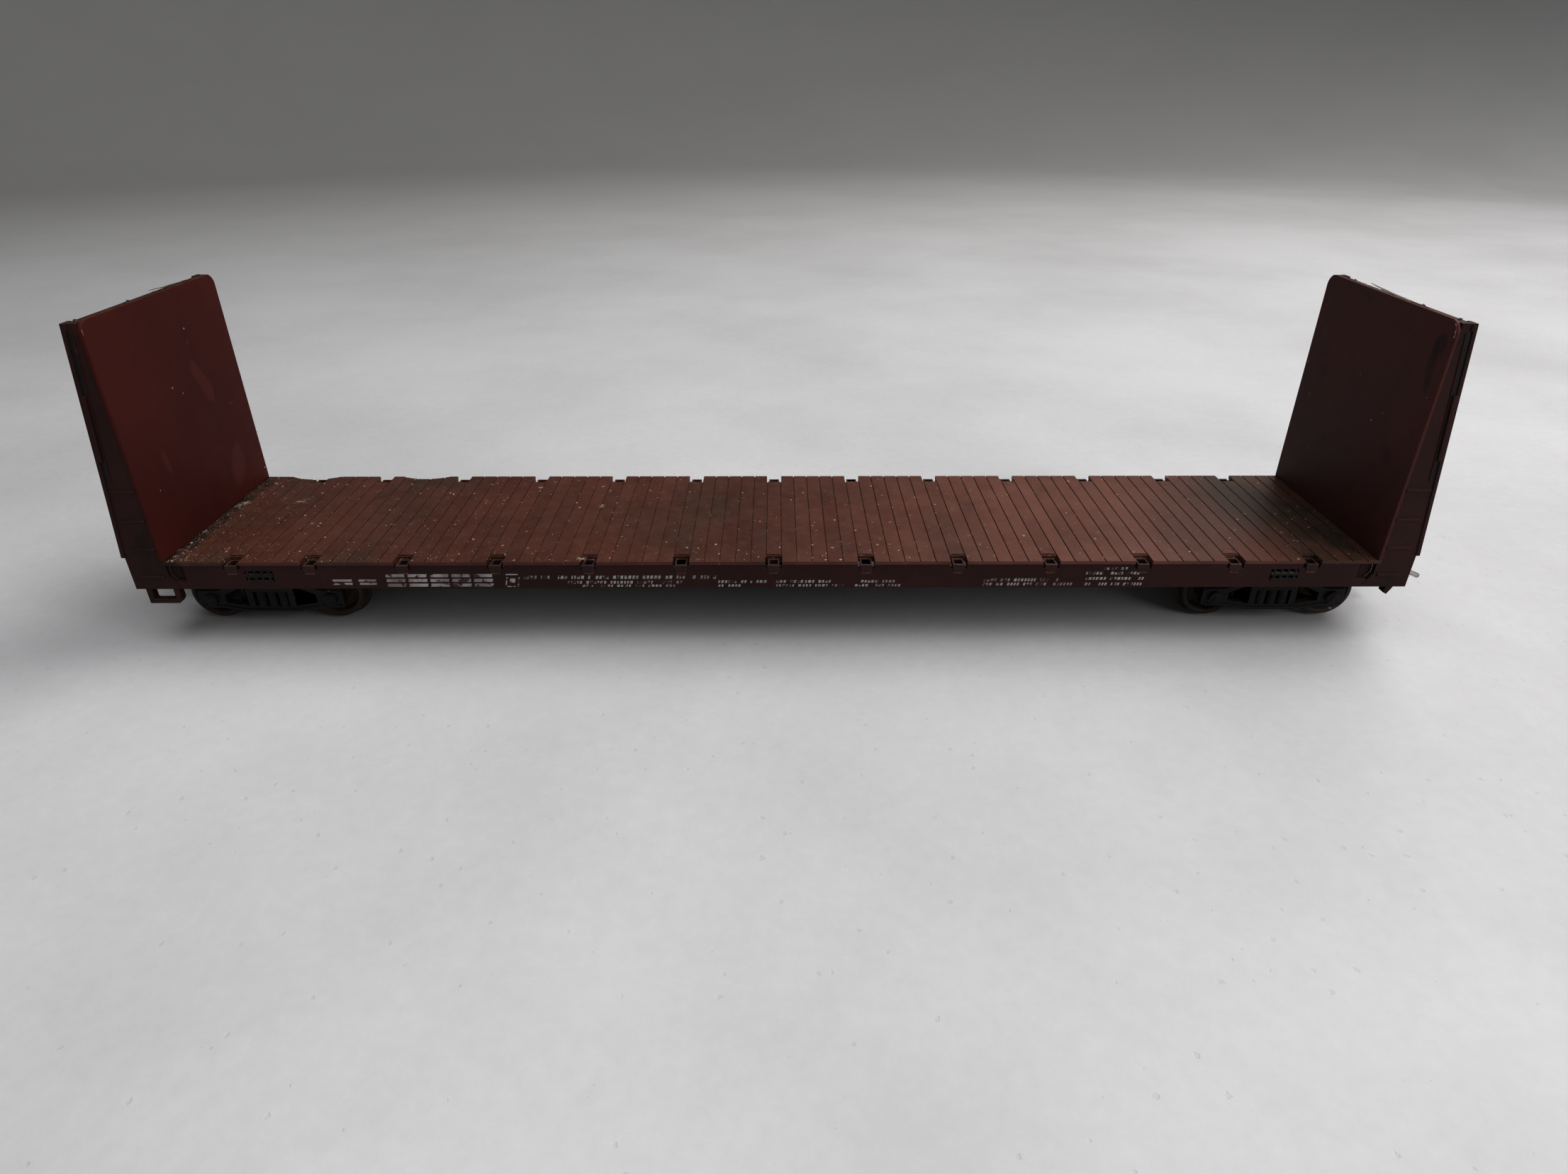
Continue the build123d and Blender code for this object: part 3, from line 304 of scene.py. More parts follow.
class Piece:
    """Surfaces gathered into one mesh."""

    def __init__(self, name: str) -> None:
        """Starts an empty piece of this name."""
        self.name = name
        self.points: list[Array] = []
        self.faces: list[list[int]] = []
        self.count = 0

    def add(self, points: Array, wrap: bool = True, caps: bool = True) -> "Piece":
        """Adds a grid of points.

        Args:
            points: grid of shape (rows, columns, 3), in millimetres.
            wrap: whether the last column joins the first.
            caps: whether the first and last rows are closed with a face.

        Returns:
            The piece itself.
        """
        rows, columns = points.shape[:2]
        self.faces += grid_faces(rows, columns, self.count, wrap)
        if caps:
            last = self.count + (rows - 1) * columns
            self.faces.append(list(range(self.count, self.count + columns))[::-1])
            self.faces.append(list(range(last, last + columns)))
        self.points.append(points.reshape(-1, 3))
        self.count += rows * columns
        return self

    def mesh(self) -> bpy.types.Mesh:
        """The gathered surfaces as a mesh in metres, with poles merged and faces pointing out.

        Returns:
            The mesh, which has the piece's name.
        """
        made = bpy.data.meshes.new(self.name)
        made.from_pydata((np.concatenate(self.points) * MM).tolist(), [], self.faces)
        work = bmesh.new()
        work.from_mesh(made)
        bmesh.ops.remove_doubles(work, verts=work.verts, dist=WELD)
        bmesh.ops.recalc_face_normals(work, faces=work.faces)
        work.to_mesh(made)
        work.free()
        return made


# ---------------------------------------------------------------- shader graphs


class Graph:
    """A node tree that is filled and joined with one call for each node."""

    def __init__(self, tree: bpy.types.NodeTree) -> None:
        """Takes the tree to fill."""
        self.tree = tree

    def add(self, kind: str, sockets: dict | None = None, **settings: object) -> bpy.types.Node:
        """Adds a node.

        Args:
            kind: the node's type, without its ShaderNode prefix.
            sockets: what each input gets, by name or number: a socket to join, or a value.
            settings: the node's own properties.

        Returns:
            The node.
        """
        node = self.tree.nodes.new("ShaderNode" + kind)
        for key, value in settings.items():
            setattr(node, key, value)
        for key, value in (sockets or {}).items():
            if isinstance(value, Socket):
                self.tree.links.new(value, node.inputs[key])
            else:
                node.inputs[key].default_value = value
        return node

    def maths(self, operation: str, *values: Socket | float, clamp: bool = False) -> Socket:
        """The result of a Math node."""
        node = self.add("Math", dict(enumerate(values)), operation=operation, use_clamp=clamp)
        return node.outputs[0]

    def weighted(self, *terms: tuple[Socket, float]) -> Socket:
        """The sum of values, each times its own weight."""
        total = self.maths("MULTIPLY", *terms[0])
        for value, weight in terms[1:]:
            total = self.maths("ADD", total, self.maths("MULTIPLY", value, weight))
        return total

    def mixed(
        self, share: Socket | float, below: Socket | Colour, above: Socket | Colour
    ) -> Socket:
        """The first colour with this share of the second over it."""
        wide = [value if isinstance(value, Socket) else (*value, 1.0) for value in (below, above)]
        node = self.add("Mix", {0: share, 6: wide[0], 7: wide[1]}, data_type="RGBA")
        return node.outputs[2]

    def ranged(
        self, value: Socket, low: float | Socket, high: float | Socket, to: tuple = (0.0, 1.0)
    ) -> Socket:
        """A value stretched from low..high to another range, and held inside it."""
        sockets = {
            "Value": value, "From Min": low, "From Max": high, "To Min": to[0], "To Max": to[1]
        }
        return self.add("MapRange", sockets, interpolation_type="SMOOTHSTEP").outputs[0]

    def noise(
        self, vector: Socket, scale: float | Socket, detail: float = 4.0, rough: float = 0.55
    ) -> bpy.types.Node:
        """A fractal noise node."""
        return self.add(
            "TexNoise", {"Vector": vector, "Scale": scale, "Detail": detail, "Roughness": rough}
        )

    def bump(self, height: Socket, depth: float, strength: float = 1.0) -> Socket:
        """A normal bent by a height, whose full range is this depth in millimetres."""
        sockets = {"Strength": strength, "Distance": depth * MM, "Height": height}
        return self.add("Bump", sockets).outputs[0]

    def feed(self, shader: bpy.types.Node, sockets: dict[str, Socket]) -> None:
        """Joins values to a shader's inputs by name."""
        for name, socket in sockets.items():
            self.tree.links.new(socket, shader.inputs[name])

    def moved(self, vector: Socket, shift: tuple, scale: tuple = (1.0, 1.0, 1.0)) -> Socket:
        """Coordinates shifted and scaled by a Mapping node."""
        return self.add("Mapping", {"Vector": vector, "Location": shift, "Scale": scale}).outputs[0]


class Effect(Enum):
    """Surface effects that several finishes share."""

    PATCHES = "soft_patches"
    SPECKS = "scattered_specks"
    WEAR = "worn_edges"
    GRAIN = "moulded_grain"
    SCRATCHES = "hair_scratches"
    SETTLED = "settled_dust"


class Effects:
    """Builds each effect's node group once and puts it into graphs."""

    def __init__(self) -> None:
        """Builds every group."""
        makers = {
            Effect.PATCHES: self.patches,
            Effect.SPECKS: self.specks,
            Effect.WEAR: self.wear,
            Effect.GRAIN: self.grain,
            Effect.SCRATCHES: self.scratches,
            Effect.SETTLED: self.settled,
        }
        self.trees = {effect: maker(effect.value) for effect, maker in makers.items()}

    def use(self, graph: Graph, effect: Effect, **values: Socket | float) -> Socket:
        """Puts an effect in a graph.

        Args:
            graph: the material's graph.
            effect: which effect.
            values: its inputs by name.

        Returns:
            The effect's output.
        """
        sockets = {key.capitalize(): value for key, value in values.items()}
        return graph.add("Group", sockets, node_tree=self.trees[effect]).outputs[0]

    @staticmethod
    def start(name: str, inputs: dict[str, float | None]) -> tuple[Graph, dict[str, Socket]]:
        """Starts a group with one output, Value.

        Args:
            name: the group's name.
            inputs: default of each input, or None for the coordinates.

        Returns:
            Its graph, and what comes in at each input.
        """
        tree = bpy.data.node_groups.new(name, "ShaderNodeTree")
        for key, value in inputs.items():
            kind = "NodeSocketVector" if value is None else "NodeSocketFloat"
            socket = tree.interface.new_socket(name=key, in_out="INPUT", socket_type=kind)
            if value is not None:
                socket.default_value = value
        tree.interface.new_socket(name="Value", in_out="OUTPUT", socket_type="NodeSocketFloat")
        graph = Graph(tree)
        entry = tree.nodes.new("NodeGroupInput")
        return graph, {key: entry.outputs[key] for key in inputs}

    @staticmethod
    def end(graph: Graph, value: Socket) -> bpy.types.NodeTree:
        """Joins a group's output and returns its tree."""
        leave = graph.tree.nodes.new("NodeGroupOutput")
        graph.tree.links.new(value, leave.inputs[0])
        return graph.tree

    def patches(self, name: str) -> bpy.types.NodeTree:
        """Soft patches: fractal noise above 1 - amount, over a band of softness.

        Args:
            name: the group's name.

        Returns:
            The group's tree.
        """
        graph, given = self.start(
            name, {"Vector": None, "Scale": 100.0, "Amount": 0.5, "Softness": 0.2}
        )
        noise = graph.noise(given["Vector"], given["Scale"], 5.0, 0.6).outputs[0]
        low = graph.maths("SUBTRACT", 1.0, given["Amount"])
        high = graph.maths("ADD", low, given["Softness"])
        return self.end(graph, graph.ranged(noise, low, high))

    def specks(self, name: str) -> bpy.types.NodeTree:
        """Specks: a share of the cells of a warped Voronoi pattern hold a blot of random size.

        Args:
            name: the group's name.

        Returns:
            The group's tree.
        """
        graph, given = self.start(name, {"Vector": None, "Scale": 900.0, "Size": 0.3, "Share": 0.2})
        warp = graph.noise(
            given["Vector"], graph.maths("MULTIPLY", given["Scale"], 2.2), 2.0
        ).outputs["Color"]
        centred = graph.add(
            "VectorMath", {0: warp, 1: (0.5, 0.5, 0.5)}, operation="SUBTRACT"
        ).outputs[0]
        reach = graph.maths("DIVIDE", 0.55, given["Scale"])
        shift = graph.add("VectorMath", {0: centred, "Scale": reach}, operation="SCALE").outputs[0]
        bent = graph.add("VectorMath", {0: given["Vector"], 1: shift}, operation="ADD").outputs[0]
        cells = graph.add("TexVoronoi", {"Vector": bent, "Scale": given["Scale"]})
        parts = graph.add("SeparateColor", {0: cells.outputs["Color"]})
        limit = graph.maths(
            "MULTIPLY", given["Size"], graph.ranged(parts.outputs[0], 0.0, 1.0, (0.35, 1.0))
        )
        blot = graph.ranged(cells.outputs["Distance"], limit, graph.maths("MULTIPLY", limit, 0.6))
        chosen = graph.maths("LESS_THAN", parts.outputs[1], given["Share"])
        return self.end(graph, graph.maths("MULTIPLY", blot, chosen))

    def wear(self, name: str) -> bpy.types.NodeTree:
        """Worn edges and painted edge highlights: where a normal blurred over the width leaves the
        true one, in noisy bits.

        Args:
            name: the group's name.

        Returns:
            The group's tree.
        """
        graph, given = self.start(name, {"Vector": None, "Width": 0.0001, "Amount": 0.5})
        blurred = graph.add("Bevel", {"Radius": given["Width"]}, samples=4).outputs[0]
        true = graph.add("NewGeometry").outputs["Normal"]
        agree = graph.add(
            "VectorMath", {0: blurred, 1: true}, operation="DOT_PRODUCT"
        ).outputs["Value"]
        edge = graph.ranged(agree, 0.985, 0.86)
        broken = graph.noise(given["Vector"], 1400.0, 4.0, 0.65).outputs[0]
        kept = graph.ranged(broken, graph.maths("SUBTRACT", 0.85, given["Amount"]), 0.95)
        return self.end(graph, graph.maths("MULTIPLY", edge, kept))

    def grain(self, name: str) -> bpy.types.NodeTree:
        """Moulded grain: fine noise on coarse noise, as a height from 0 to 1.

        Args:
            name: the group's name.

        Returns:
            The group's tree.
        """
        graph, given = self.start(name, {"Vector": None, "Scale": 3000.0})
        fine = graph.noise(given["Vector"], given["Scale"], 3.0, 0.7).outputs[0]
        coarse = graph.noise(
            given["Vector"], graph.maths("MULTIPLY", given["Scale"], 0.16), 3.0
        ).outputs[0]
        return self.end(graph, graph.maths("ADD", graph.maths("MULTIPLY", fine, 0.4), coarse))

    def scratches(self, name: str) -> bpy.types.NodeTree:
        """Hair scratches: thin contour lines of stretched noise, in patches.

        Args:
            name: the group's name.

        Returns:
            The group's tree.
        """
        graph, given = self.start(name, {"Vector": None, "Scale": 120.0, "Share": 0.4})
        long = graph.moved(given["Vector"], (0.013, 0.007, 0.003), (1.0, 0.22, 0.35))
        field = graph.noise(long, given["Scale"], 2.0, 0.5).outputs[0]
        away = graph.maths("ABSOLUTE", graph.maths("SUBTRACT", field, 0.5))
        line = graph.ranged(away, 0.006, 0.0)
        where = graph.noise(
            given["Vector"], graph.maths("MULTIPLY", given["Scale"], 1.7), 2.0
        ).outputs[0]
        limit = graph.maths("SUBTRACT", 1.0, given["Share"])
        kept = graph.ranged(where, limit, graph.maths("ADD", limit, 0.08))
        return self.end(graph, graph.maths("MULTIPLY", line, kept))

    def settled(self, name: str) -> bpy.types.NodeTree:
        """Settled dust: more on faces that look up, in cloudy patches.

        Args:
            name: the group's name.

        Returns:
            The group's tree.
        """
        graph, given = self.start(name, {"Vector": None, "Amount": 0.4})
        normal = graph.add("NewGeometry").outputs["Normal"]
        upward = graph.add("SeparateXYZ", {0: normal}).outputs[2]
        facing = graph.ranged(upward, 0.25, 0.95)
        cloud = graph.ranged(graph.noise(given["Vector"], 420.0, 5.0, 0.65).outputs[0], 0.3, 0.75)
        dusted = graph.maths("MULTIPLY", facing, cloud)
        return self.end(graph, graph.maths("MULTIPLY", dusted, given["Amount"]))


def blank(name: str) -> tuple[Material, Graph, bpy.types.Node, Socket]:
    """Starts a material.

    Args:
        name: its name.

    Returns:
        The material, its graph, its Principled node, and the piece's Object coordinates.
    """
    material = bpy.data.materials.new(name)
    material.use_nodes = True
    graph = Graph(material.node_tree)
    shader = next(node for node in material.node_tree.nodes if node.type == "BSDF_PRINCIPLED")
    place = graph.add("TexCoord").outputs["Object"]
    return material, graph, shader, place


DUST_TAN: Colour = (0.36, 0.27, 0.20)
GRIME_DARK: Colour = (0.010, 0.008, 0.006)


@dataclass(frozen=True)
class Plastic:
    """Moulded or painted plastic with grime, dust, and worn edges that also carry painted edge
    highlights. Lengths are in millimetres.
    """

    name: str
    colour: Colour
    drift: Colour
    # edge colour: worn edges and painted edge highlights, also used for scratches
    edge: Colour = (0.16, 0.07, 0.05)
    grime: Colour = GRIME_DARK
    grime_amount: float = 0.5
    grime_scale: float = 130.0
    grime_strength: float = 0.7
    speck_share: float = 0.05
    speck_scale: float = 900.0
    speck_size: float = 0.24
    speck_height: float = 2.5
    dust: float = 0.1
    edge_width: float = 0.12
    edge_amount: float = 0.45
    roughness: float = 0.5
    grain_depth: float = 0.006
    grain_scale: float = 2600.0
    scratch_share: float = 0.35
    scratch_scale: float = 170.0
    scratch_strength: float = 0.35
    specular: float = 0.22

    def ground(self, graph: Graph, effects: Effects, place: Socket) -> Socket:
        """The paint's own colour before dirt: two tones in broad clouds."""
        cloud = graph.ranged(graph.noise(place, 60.0, 5.0, 0.6).outputs[0], 0.35, 0.68)
        return graph.mixed(cloud, self.colour, self.drift)

    def material(self, effects: Effects) -> Material:
        """Builds the finish's material.

        Args:
            effects: the shared node groups.

        Returns:
            The material.
        """
        material, graph, shader, place = blank(self.name)
        use = effects.use
        ground = self.ground(graph, effects, place)
        grime = use(
            graph,
            Effect.PATCHES,
            vector=place,
            scale=self.grime_scale,
            amount=self.grime_amount,
            softness=0.3,
        )
        dirty = graph.mixed(graph.maths("MULTIPLY", grime, self.grime_strength), ground, self.grime)
        dust = use(graph, Effect.SETTLED, vector=place, amount=self.dust)
        dusty = graph.mixed(dust, dirty, DUST_TAN)
        # the edge colour laid along every edge: wear, and painted edge highlights
        wear = use(
            graph, Effect.WEAR, vector=place, width=self.edge_width * MM, amount=self.edge_amount
        )
        worn = graph.mixed(wear, dusty, self.edge)
        scratch = use(
            graph,
            Effect.SCRATCHES,
            vector=place,
            scale=self.scratch_scale,
            share=self.scratch_share,
        )
        faint = graph.maths("MULTIPLY", scratch, self.scratch_strength)
        scored = graph.mixed(faint, worn, self.edge)
        specks = use(
            graph,
            Effect.SPECKS,
            vector=place,
            scale=self.speck_scale,
            size=self.speck_size,
            share=self.speck_share,
        )
        spotted = graph.mixed(specks, scored, DUST_TAN)
        grain = use(graph, Effect.GRAIN, vector=place, scale=self.grain_scale)
        dull = graph.weighted((grime, 0.12), (dust, 0.5), (grain, 0.12), (specks, 0.4))
        rough = graph.maths("ADD", dull, self.roughness - 0.08)
        height = graph.maths("ADD", grain, graph.maths("MULTIPLY", specks, self.speck_height))
        normal = graph.bump(height, self.grain_depth)
        rough = graph.maths("MINIMUM", rough, 1.0)
        graph.feed(shader, {"Base Color": spotted, "Roughness": rough, "Normal": normal})
        shader.inputs["Specular IOR Level"].default_value = self.specular
        return material


@dataclass(frozen=True)
class DeckPlastic(Plastic):
    """Deck plastic: each plank has its own tone, dust lies in the grooves, grime and painted shade
    lie in zones, and painted sheen lies right of the middle.
    """

    half_length: float = 99.5
    groove_half: float = 0.17
    greenish: Colour = (0.030, 0.024, 0.015)
    soil: Colour = (0.014, 0.0095, 0.007)
    soil_width: float = 3.4
    # paler colour of the painted sheen
    rubbed: Colour = (0.175, 0.075, 0.055)
    # how far along the deck, how dark the grime and painted shade are there (at the right end,
    # painted shadow of the right bulkhead), and how much painted sheen lies there
    zones: tuple[tuple[float, float, float], ...] = (
        (0.0, 0.75, 0.0), (0.06, 0.35, 0.0), (0.15, 0.55, 0.0), (0.24, 0.12, 0.0),
        (0.38, 0.22, 0.0), (0.47, 0.50, 0.0), (0.54, 0.15, 0.08), (0.66, 0.30, 0.38),
        (0.70, 0.06, 0.45), (0.82, 0.06, 0.42), (0.89, 0.34, 0.36), (1.0, 0.85, 0.0),
    )

    def ground(self, graph: Graph, effects: Effects, place: Socket) -> Socket:
        """Two tones by plank, under greenish zones of grime and painted shade, with painted sheen,
        and with tan dust along the grooves.

        Args:
            graph: the material's graph.
            effects: the shared node groups.
            place: the piece's Object coordinates.

        Returns:
            The colour before dirt.
        """
        along = graph.add("SeparateXYZ", {0: place}).outputs[0]
        planks = graph.maths("DIVIDE", along, PLANK_PITCH * MM)
        number = graph.maths("ROUND", planks)
        tone = graph.add("TexWhiteNoise", {"W": number}, noise_dimensions="1D").outputs[0]
        drawn = graph.moved(place, (0.0, 0.0, 0.0), (1.0, 0.12, 1.0))
        grain = graph.noise(drawn, 900.0, 4.0, 0.7).outputs[0]
        cloud = graph.ranged(graph.noise(place, 75.0, 5.0, 0.6).outputs[0], 0.3, 0.7)
        share = graph.weighted((tone, 0.3), (cloud, 0.45), (grain, 0.25))
        paint = graph.mixed(share, self.colour, self.drift)
        half = self.half_length * MM
        ends = {"Value": along, "From Min": -half, "From Max": half}
        span = graph.add("MapRange", ends).outputs[0]
        ramp = graph.add("ValToRGB", {0: span})
        elements = ramp.color_ramp.elements
        while len(elements) < len(self.zones):
            elements.new(0.5)
        for element, (position, dark, sheen_share) in zip(elements, self.zones):
            element.position = position
            element.color = (dark, sheen_share, 0.0, 1.0)
        dark, sheen_share = graph.add("SeparateColor", {0: ramp.outputs[0]}).outputs[:2]
        shifted = graph.moved(place, (0.4, 0.1, 0.0), (1.0, 0.6, 1.0))
        ragged = effects.use(
            graph, Effect.PATCHES, vector=shifted, scale=55.0, amount=0.58, softness=0.25
        )
        broken = graph.ranged(ragged, 0.0, 1.0, (0.35, 1.25))
        # dark zones: grime, and at the right end painted shadow of the right bulkhead
        grime_and_shade = graph.maths("MULTIPLY", dark, broken, clamp=True)
        # painted sheen: paler paint right of the middle, where the lamps' reflection falls
        rubbed = graph.maths("MULTIPLY", sheen_share, graph.ranged(share, 0.1, 0.9, (0.6, 1.3)))
        shaded = graph.mixed(grime_and_shade, graph.mixed(rubbed, paint, self.rubbed), self.greenish)
        # distance from the nearest groove, in planks
        part = graph.maths("ABSOLUTE", graph.maths("SUBTRACT", graph.maths("FRACT", planks), 0.5))
        rim = self.groove_half / PLANK_PITCH
        inside = graph.ranged(part, rim, 0.4 * rim)
        packed = graph.ranged(graph.noise(place, 1500.0, 3.0, 0.7).outputs[0], 0.60, 0.68)
        caught = graph.maths("MULTIPLY", graph.maths("MULTIPLY", inside, packed), 0.55)
        dusty = graph.mixed(caught, shaded, DUST_TAN)
        # soil along the foot of the left bulkhead
        width = self.soil_width * MM
        near = graph.ranged(along, width - half, 0.3 * width - half)
        clods = graph.ranged(graph.noise(place, 480.0, 5.0, 0.7).outputs[0], 0.36, 0.56)
        return graph.mixed(graph.maths("MULTIPLY", near, clods), dusty, self.soil)


@dataclass(frozen=True)
class SheetPlastic(Plastic):
    """Bulkhead sheet: clouds, faint upright streaks, and a few wiped smears in known places."""

    smear: Colour = (0.085, 0.022, 0.017)
    # across the car, height, half width, half height and lean in degrees of each smear
    smears: tuple[tuple[float, float, float, float, float], ...] = ()
    smear_strength: float = 0.55
    shift: tuple[float, float, float] = (0.0, 0.0, 0.0)

    def ground(self, graph: Graph, effects: Effects, place: Socket) -> Socket:
        """Two tones in clouds and streaks, with leaning ragged ellipses over them.

        Args:
            graph: the material's graph.
            effects: the shared node groups; not used.
            place: the piece's Object coordinates.

        Returns:
            The colour before dirt.
        """
        own = graph.moved(place, self.shift)
        cloud = graph.ranged(graph.noise(own, 45.0, 4.0, 0.55).outputs[0], 0.3, 0.72)
        drawn = graph.moved(own, (0.0, 0.0, 0.0), (1.0, 1.0, 0.12))
        streak = graph.noise(drawn, 330.0, 4.0, 0.6).outputs[0]
        share = graph.weighted((cloud, 0.6), (streak, 0.4))
        paint = graph.mixed(share, self.colour, self.drift)
        ragged = graph.noise(place, 260.0, 4.0, 0.6).outputs[0]
        for y, z, half_width, half_height, lean in self.smears:
            away = graph.add(
                "Mapping",
                {
                    "Vector": place,
                    "Location": (0.0, y * MM, z * MM),
                    "Rotation": (math.radians(lean), 0.0, 0.0),
                    "Scale": (1e-6, half_width * MM, half_height * MM),
                },
                vector_type="TEXTURE",
            ).outputs[0]
            sockets = {0: away, 1: (0.0, 1.0, 1.0)}
            flat = graph.add("VectorMath", sockets, operation="MULTIPLY").outputs[0]
            radius = graph.add("VectorMath", {0: flat}, operation="LENGTH").outputs["Value"]
            edge = graph.maths("ADD", radius, graph.maths("MULTIPLY", ragged, 0.9))
            mask = graph.ranged(edge, 1.5, 1.25)
            faint = graph.maths("MULTIPLY", mask, self.smear_strength)
            paint = graph.mixed(faint, paint, self.smear)
        return paint


@dataclass(frozen=True)
class Metal:
    """Bare metal, dulled in patches and finely scratched."""

    name: str
    colour: Colour
    tarnish: Colour
    roughness: float = 0.35
    tarnish_amount: float = 0.5
    grain_depth: float = 0.004

    def material(self, effects: Effects) -> Material:
        """Builds the finish's material.

        Args:
            effects: the shared node groups.

        Returns:
            The material.
        """
        material, graph, shader, place = blank(self.name)
        dull = effects.use(
            graph,
            Effect.PATCHES,
            vector=place,
            scale=520.0,
            amount=self.tarnish_amount,
            softness=0.3,
        )
        scratch = effects.use(graph, Effect.SCRATCHES, vector=place, scale=600.0, share=0.6)
        colour = graph.mixed(dull, self.colour, self.tarnish)
        metal = graph.ranged(dull, 0.0, 1.0, (1.0, 0.55))
        spread = graph.weighted((dull, 0.3), (scratch, -0.12))
        rough = graph.maths("ADD", spread, self.roughness)
        grain = effects.use(graph, Effect.GRAIN, vector=place, scale=5000.0)
        height = graph.maths("SUBTRACT", grain, graph.maths("MULTIPLY", scratch, 0.8))
        normal = graph.bump(height, self.grain_depth, 0.8)
        sockets = {"Base Color": colour, "Metallic": metal, "Roughness": rough, "Normal": normal}
        graph.feed(shader, sockets)
        return material


@dataclass(frozen=True)
class WornPaint:
    """Printed paint, rubbed through in flakes to the plastic under it."""

    name: str
    colour: Colour
    under: Colour
    worn: float = 0.42
    fading: float = 0.6
    grain_depth: float = 0.004

    def material(self, effects: Effects) -> Material:
        """Builds the finish's material.

        Args:
            effects: the shared node groups.

        Returns:
            The material.
        """
        material, graph, shader, place = blank(self.name)
        flakes = effects.use(
            graph, Effect.PATCHES, vector=place, scale=900.0, amount=self.worn, softness=0.06
        )
        broad = graph.ranged(graph.noise(place, 190.0, 3.0).outputs[0], 0.42, 0.66)
        lost = graph.maths("MAXIMUM", flakes, graph.maths("MULTIPLY", broad, 0.55))
        faded = tuple(self.fading * part for part in self.colour)
        tone = graph.mixed(graph.noise(place, 1400.0, 3.0).outputs[0], self.colour, faded)
        grain = effects.use(graph, Effect.GRAIN, vector=place, scale=4000.0)
        normal = graph.bump(grain, self.grain_depth, 0.6)
        paint = graph.mixed(lost, tone, self.under)
        rough = graph.ranged(lost, 0.0, 1.0, (0.62, 0.48))
        graph.feed(shader, {"Base Color": paint, "Roughness": rough, "Normal": normal})
        return material


@dataclass(frozen=True)
class Lint:
    """Pale dust crumbs and fibres, with a tone that changes from one to the next."""

    name: str
    light: Colour
    dark: Colour
    grain_depth: float = 0.01

    def material(self, effects: Effects) -> Material:
        """Builds the finish's material.

        Args:
            effects: the shared node groups.

        Returns:
            The material.
        """
        material, graph, shader, place = blank(self.name)
        tone = graph.ranged(graph.noise(place, 700.0, 2.0).outputs[0], 0.3, 0.7)
        grain = effects.use(graph, Effect.GRAIN, vector=place, scale=7000.0)
        normal = graph.bump(grain, self.grain_depth)
        paint = graph.mixed(tone, self.light, self.dark)
        rough = graph.ranged(grain, 0.3, 1.1, (0.8, 1.0))
        graph.feed(shader, {"Base Color": paint, "Roughness": rough, "Normal": normal})
        return material


@dataclass(frozen=True)
class Plaster:
    """Pale mottled tabletop, with painted shade that darkens it towards its back and left."""

    name: str
    colour: Colour
    shade: Colour
    distant: Colour
    distant_share: float = 0.85
    pit_depth: float = 0.12

    def material(self, effects: Effects) -> Material:
        """Builds the finish's material.

        Args:
            effects: the shared node groups.

        Returns:
            The material.
        """
        material, graph, shader, place = blank(self.name)
        broad = graph.ranged(graph.noise(place, 9.0, 6.0, 0.6).outputs[0], 0.3, 0.75)
        fine = graph.noise(place, 420.0, 5.0, 0.7).outputs[0]
        pits = effects.use(graph, Effect.SPECKS, vector=place, scale=700.0, size=0.3, share=0.1)
        blend = graph.weighted((broad, 0.55), (fine, 0.45))
        shade = graph.maths("ADD", blend, graph.maths("MULTIPLY", pits, 0.2), clamp=True)
        height = graph.maths("SUBTRACT", fine, pits)
        normal = graph.bump(height, self.pit_depth, 0.35)
        # painted shade: the floor darkens towards the back and left
        parts = graph.add("SeparateXYZ", {0: place}).outputs
        depth = graph.maths("SUBTRACT", parts[1], graph.maths("MULTIPLY", parts[0], 0.35))
        away = graph.maths("MULTIPLY", graph.ranged(depth, 0.02, 0.85), self.distant_share)
        paint = graph.mixed(away, graph.mixed(shade, self.colour, self.shade), self.distant)
        graph.feed(shader, {"Base Color": paint, "Normal": normal})
        shader.inputs["Roughness"].default_value = 0.9
        shader.inputs["Specular IOR Level"].default_value = 0.15
        return material


